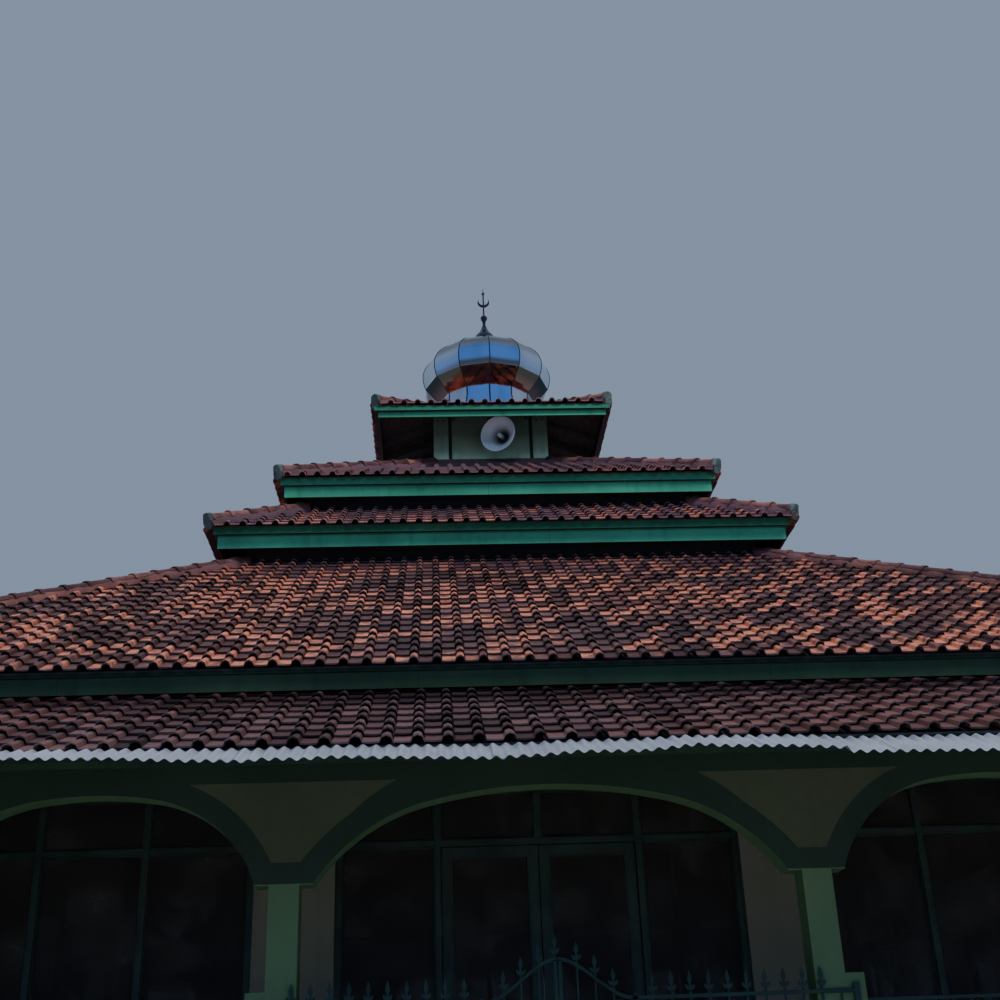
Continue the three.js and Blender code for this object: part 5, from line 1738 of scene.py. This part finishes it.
class MOSQUE_OT_windows(MosqueOperator):
    """Make the window frames and panes of all four walls, and the entrance screen"""

    bl_idname = "mosque.windows"
    bl_label = "Windows"

    def build(self, scene):
        for side in ("right", "left"):
            front_window_pieces(side)
        screen_pieces()
        for side in ("right", "back", "left"):
            dress(f"window_glass_{side}", "glass")
            hall_side_windows(side)


class MOSQUE_OT_doors(MosqueOperator):
    """Make the two glazed leaves of the entrance door"""

    bl_idname = "mosque.doors"
    bl_label = "Entrance doors"

    def build(self, scene):
        for side in ("right", "left"):
            door_leaf_pieces(side)


class MOSQUE_OT_gate(MosqueOperator):
    """Make the gate's two leaves and the fixed railings beside them"""

    bl_idname = "mosque.gate"
    bl_label = "Gate"

    def build(self, scene):
        for side in ("right", "left"):
            gate_fence_piece(side, scene.mosque_fence)
            gate_leaf_piece(side, scene.mosque_fence)


class MOSQUE_OT_fences(MosqueOperator):
    """Make the fences of the side bays and of the other three sides"""

    bl_idname = "mosque.fences"
    bl_label = "Fences"

    def build(self, scene):
        for reach in ("near", "far"):
            for side in ("right", "left"):
                bay_fence_piece(reach, side, scene.mosque_fence)
        for side in ("right", "back", "left"):
            side_fence_piece(side, scene.mosque_fence)


class MOSQUE_OT_tiles(MosqueOperator):
    """Lay the clay tiles on every slope of the five roofs"""

    bl_idname = "mosque.tiles"
    bl_label = "Roof tiles"

    def build(self, scene):
        for tier in TIERS:
            for side in SIDES:
                mesh = tile_slope(tier, side, scene.mosque_tiles)
                piece_of(mesh, f"{tier.name}_tiles_{side}", "clay_tile", "clay", smooth=38)


class MOSQUE_OT_hips(MosqueOperator):
    """Lay the mortar beds, caps and closed ends along the hips"""

    bl_idname = "mosque.hips"
    bl_label = "Hips"

    def build(self, scene):
        sizes = scene.mosque_tiles
        draws = random.Random(sizes.seed)
        for tier in TIERS:
            ends = [*eave_planes(tier), *stop_planes(tier)]
            bed = in_place_on_hips(tier, mortar_bed(tier, draws), ends)
            piece_of(bed, f"{tier.name}_hip_beds", "clay_tile", "mortar", smooth=50)
            count = math.ceil(hip_length(tier) / sizes.cap_spacing)
            row = rows_of_copies(hip_cap(sizes), "cap_clay", count, (0, sizes.cap_spacing, 0),
                                 place_jitter=(0.004, 0.004, 0.001),
                                 turn_jitter=(0.010, 0.015, 0.02), seed=TIERS.index(tier))
            row.transform(Matrix.Translation((0, hip_start(tier) + 0.05, 0)))
            caps = in_place_on_hips(tier, row, ends)
            piece_of(caps, f"{tier.name}_hip_caps", "clay_tile", "cap_clay", smooth=40)
            plugs = in_place_on_hips(tier, hip_plug(tier), eave_planes(tier))
            piece_of(plugs, f"{tier.name}_hip_ends", "clay_tile", "hip_plug", bevel=0.004)


class MOSQUE_OT_decks(MosqueOperator):
    """Make the boards under the tiles and the rafters under the eaves"""

    bl_idname = "mosque.decks"
    bl_label = "Decks and rafters"

    def build(self, scene):
        for tier in TIERS:
            deck = roof_deck(tier).piece(f"{tier.name}_deck", "timber", "timber")
            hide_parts(f"{tier.name}_roof")
            for k, rows in enumerate(rafter_rows(tier)):
                piece_of(rows, f"{tier.name}_rafters_{k}", "timber", "timber")


class MOSQUE_OT_eaves(MosqueOperator):
    """Paint the eave boards and hang the corrugated strip"""

    bl_idname = "mosque.eaves"
    bl_label = "Eaves"

    def build(self, scene):
        for tier in TIERS:
            dress(f"{tier.name}_eave_board", f"{tier.name}_boards")
        draws = random.Random(11)
        for side in SIDES:
            mesh = turned_about(strip_sheets(scene.mosque_strip, draws), SIDES.index(side))
            strip = piece_of(mesh, f"corrugated_strip_{side}", "zinc_sheet", "zinc", smooth=60)
            if side == "front":
                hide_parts("eave_strip")


class MOSQUE_OT_lantern(MosqueOperator):
    """Finish the lantern with its flashing, dark strips of painted shade and bolts, and the walls
    between the roofs
    """

    bl_idname = "mosque.lantern"
    bl_label = "Lantern"

    def build(self, scene):
        dress("lantern", "lantern_boards")
        for name in ("lower_clerestory", "upper_clerestory"):
            # near black as painted shade under the eaves
            dress(name, "dark_wall")
        face, post = LANTERN_HALF - 0.03, 0.24
        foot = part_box("lantern")[0].z + 0.11
        top = tile_z(CROWN, LANTERN_HALF) - ROOF_THICK - 0.01
        width, proud = 0.055, 0.014
        # dark green strips beside the posts: painted shade for the shade in the recess beside each
        # post
        shape = Shape()
        for sign in (1, -1):
            inner = LANTERN_HALF - post
            shape.block(*span(sign, inner - 0.003, inner - width), -face - proud, -face, foot, top)
        flashing = Shape()
        profile = [(LANTERN_HALF + 0.001, tile_z(SECOND, LANTERN_HALF) - 0.03)]
        for out, lift in ((0.14, -0.02), (0.14, 0.050), (0.05, 0.10), (0.001, 0.125)):
            half = LANTERN_HALF + out
            profile.append((half, tile_z(SECOND, half) + lift))
        square_ring(flashing, profile)
        flashing.piece("lantern_flashing", "clay_tile", "mortar")
        strips = four_sides(shape.mesh("lantern_cover_strips"))
        piece_of(strips, "lantern_cover_strips", "green_plaster", "lantern_strip", bevel=0.002)
        bolt = Shape()
        place = Matrix.Translation((0, -LANTERN_HALF, 0)) @ Matrix.Rotation(QUARTER, 4, "X")
        head = [(0, 0), (0.016, 0), (0.016, 0.006), (0.008, 0.011), (0, 0.012)]
        bolt.turned(head, 10, place=place)
        row = rows_of_copies(bolt.mesh("bolt"), "dark_metal", 2, (0.09, 0, 0))
        pairs = Shape()
        for x in (-LANTERN_HALF + 0.075, LANTERN_HALF - 0.165):
            moved = row.copy()
            moved.transform(Matrix.Translation((x, 0, top - 0.10)))
            pairs.bm.from_mesh(moved)
        bolts = four_sides(pairs.mesh("lantern_bolts"))
        piece_of(bolts, "lantern_bolts", "dark_metal", "dark_metal", smooth=40)


class MOSQUE_OT_dome(MosqueOperator):
    """Make the mirror-steel dome with its seams, and its collar"""

    bl_idname = "mosque.dome"
    bl_label = "Dome"

    def build(self, scene):
        outer = dome_profile()
        inner = [(r - DOME_SHEET, z) for r, z in reversed(outer)]
        top = outer[-1][1]
        profile = [(0, top), *reversed(outer), *reversed(inner), (0, top - DOME_SHEET)]
        shape = Shape()
        shape.turned(profile, DOME_SIDES, DOME_PHASE)
        dome = shape.piece("dome_shell", "mirror_steel", "mirror", smooth=18)
        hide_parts("dome")
        seams = Shape()
        seam_strips(seams, outer)
        seams.piece("dome_seams", "dark_metal", "seam")
        collar = Shape()
        collar.turned([(0.62, 10.85), (0.88, 10.85), (0.88, 10.99), (0.80, 11.30),
                       (0.805, DOME_FOOT_Z - 0.0005), (0.62, DOME_FOOT_Z - 0.0005)],
                      DOME_SIDES, DOME_PHASE)
        made = collar.piece("dome_neck", "mirror_steel", "mirror", smooth=18)
        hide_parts("dome_collar")
        edges = Shape()
        seam_strips(edges, [(0.88, 10.99), (0.80, 11.30), (0.805, 11.43)], 0.014, 0.004)
        edges.piece("neck_seams", "dark_metal", "seam")


class MOSQUE_OT_finial(MosqueOperator):
    """Make the steel spire, the mast with its balls and the crescent"""

    bl_idname = "mosque.finial"
    bl_label = "Finial"

    def build(self, scene):
        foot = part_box("finial")[0].z
        spire = [(0, foot), (0.27, foot), (0.242, foot + 0.04), (0.215, 12.64), (0.194, 12.74),
                 (0.165, 12.825), (0.133, 12.86), (0.105, 12.895), (0.084, 12.93), (0.067, 12.96),
                 (0.053, 12.99), (0.043, 13.02), (0.032, 13.055), (0.024, 13.09), (0, 13.09)]
        shape = Shape()
        shape.turned(spire, 32)
        made = shape.piece("finial_spire", "mirror_steel", "mirror", smooth=40)
        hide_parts("finial")
        mast = Shape()
        ball = [(0.059 * math.sin(a), 13.204 - 0.059 * math.cos(a))
                for a in [math.pi * k / 14 for k in range(3, 13)]]
        bead = [(0.026 * math.sin(a), 13.72 - 0.026 * math.cos(a))
                for a in [math.pi * k / 10 for k in range(2, 9)]]
        profile = [(0, 13.0905), (0.024, 13.0905), (0.031, 13.125), *ball,
                   (0.014, 13.268), (0.012, 13.69), *bead, (0.009, 13.75), (0, 13.858)]
        mast.turned(profile, 20)
        mast.plate(crescent_outline(0.105, 0.088, 0.034, 13.54), -0.007, 0.007)
        mast.piece("finial_mast", "dark_metal", "dark_metal", smooth=40)


def crescent_outline(outer, inner, lift, z, steps=20):
    """A crescent that opens upwards: an outer arc and a smaller one set higher."""
    reach = (outer ** 2 + lift ** 2 - inner ** 2) / (2 * lift)
    start, inner_start = math.acos(reach / outer), math.acos((reach - lift) / inner)
    points = []
    for k in range(steps + 1):
        a = start + (2 * math.pi - 2 * start) * k / steps
        points.append((-outer * math.sin(a), z + outer * math.cos(a)))
    for k in range(1, steps):
        a = inner_start + (2 * math.pi - 2 * inner_start) * (1 - k / steps)
        points.append((-inner * math.sin(a), z + lift + inner * math.cos(a)))
    return points


class MOSQUE_OT_horn(MosqueOperator):
    """Make the horn loudspeaker with its inner tube and rim, and paint its bracket"""

    bl_idname = "mosque.horn"
    bl_label = "Horn loudspeaker"

    def build(self, scene):
        r = HORN_RADIUS
        rim = [(r - 0.012, 0.006), (r - 0.005, 0.009), (r, 0.006), (r, -0.002), (r - 0.005, -0.006)]
        outer = [(0.255, -0.035), (0.19, -0.10), (0.142, -0.155), (0.105, -0.20), (0.075, -0.235),
                 (0.064, -0.25), (0.064, -0.268), (0.092, -0.28), (0.092, -0.368), (0.08, -0.38)]
        inner = [(0.252, -0.030), (0.182, -0.10), (0.132, -0.155), (0.096, -0.20), (0.066, -0.233)]
        tube = [(0.036, -0.233), (0.036, -0.16), (0.033, -0.05), (0.028, -0.038), (0.014, -0.030)]
        place = Matrix.Translation(HORN_MOUTH) @ Matrix.Rotation(-HORN_YAW, 4, "Z")
        place = place @ Matrix.Rotation(HORN_DIP, 4, "X") @ Matrix.Rotation(QUARTER, 4, "X")
        bell = Shape()
        bell.turned([(0, -0.24), (0.064, -0.24), *reversed(inner), *rim, *outer, (0, -0.38)], 48,
                    place=place)
        made = bell.piece("horn_bell", "horn_grey", "horn", smooth=45)
        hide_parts("horn_speaker")
        lining = Shape()
        skin = [(radius - 0.002, z + 0.0005) for radius, z in reversed(inner)]
        edge = [(radius - 0.0005, z + 0.0002) for radius, z in inner]
        lining.turned([(0, -0.028), *reversed(tube), *skin, *edge, (0, -0.2395)], 48, place=place)
        lining.piece("horn_lining", "horn_grey", "horn_inside", smooth=45)
        dress("horn_bracket", "lantern_boards")


OPERATORS = (
    MOSQUE_OT_stage, MOSQUE_OT_masonry, MOSQUE_OT_windows, MOSQUE_OT_doors, MOSQUE_OT_gate,
    MOSQUE_OT_fences, MOSQUE_OT_tiles, MOSQUE_OT_hips, MOSQUE_OT_decks, MOSQUE_OT_eaves,
    MOSQUE_OT_lantern, MOSQUE_OT_dome, MOSQUE_OT_finial, MOSQUE_OT_horn,
)


class MOSQUE_PT_panel(bpy.types.Panel):
    """Lists the mosque's operators and settings"""

    bl_idname = "MOSQUE_PT_panel"
    bl_label = "Tiered roof mosque"
    bl_space_type = "VIEW_3D"
    bl_region_type = "UI"
    bl_category = "Mosque"

    def draw(self, context):
        for operator in OPERATORS:
            self.layout.operator(operator.bl_idname)
        for name, group in GROUPS.items():
            box = self.layout.box()
            for key in group.__annotations__:
                box.prop(getattr(context.scene, name), key)


def register():
    for name, group in GROUPS.items():
        bpy.utils.register_class(group)
        setattr(bpy.types.Scene, name, PointerProperty(type=group))
    for operator in OPERATORS:
        bpy.utils.register_class(operator)
    bpy.utils.register_class(MOSQUE_PT_panel)


def unregister():
    bpy.utils.unregister_class(MOSQUE_PT_panel)
    for operator in reversed(OPERATORS):
        bpy.utils.unregister_class(operator)
    for name, group in reversed(GROUPS.items()):
        delattr(bpy.types.Scene, name)
        bpy.utils.unregister_class(group)


def main():
    register()
    for operator in OPERATORS:
        group, name = operator.bl_idname.split(".")
        getattr(getattr(bpy.ops, group), name)()


if __name__ == "__main__":
    main()
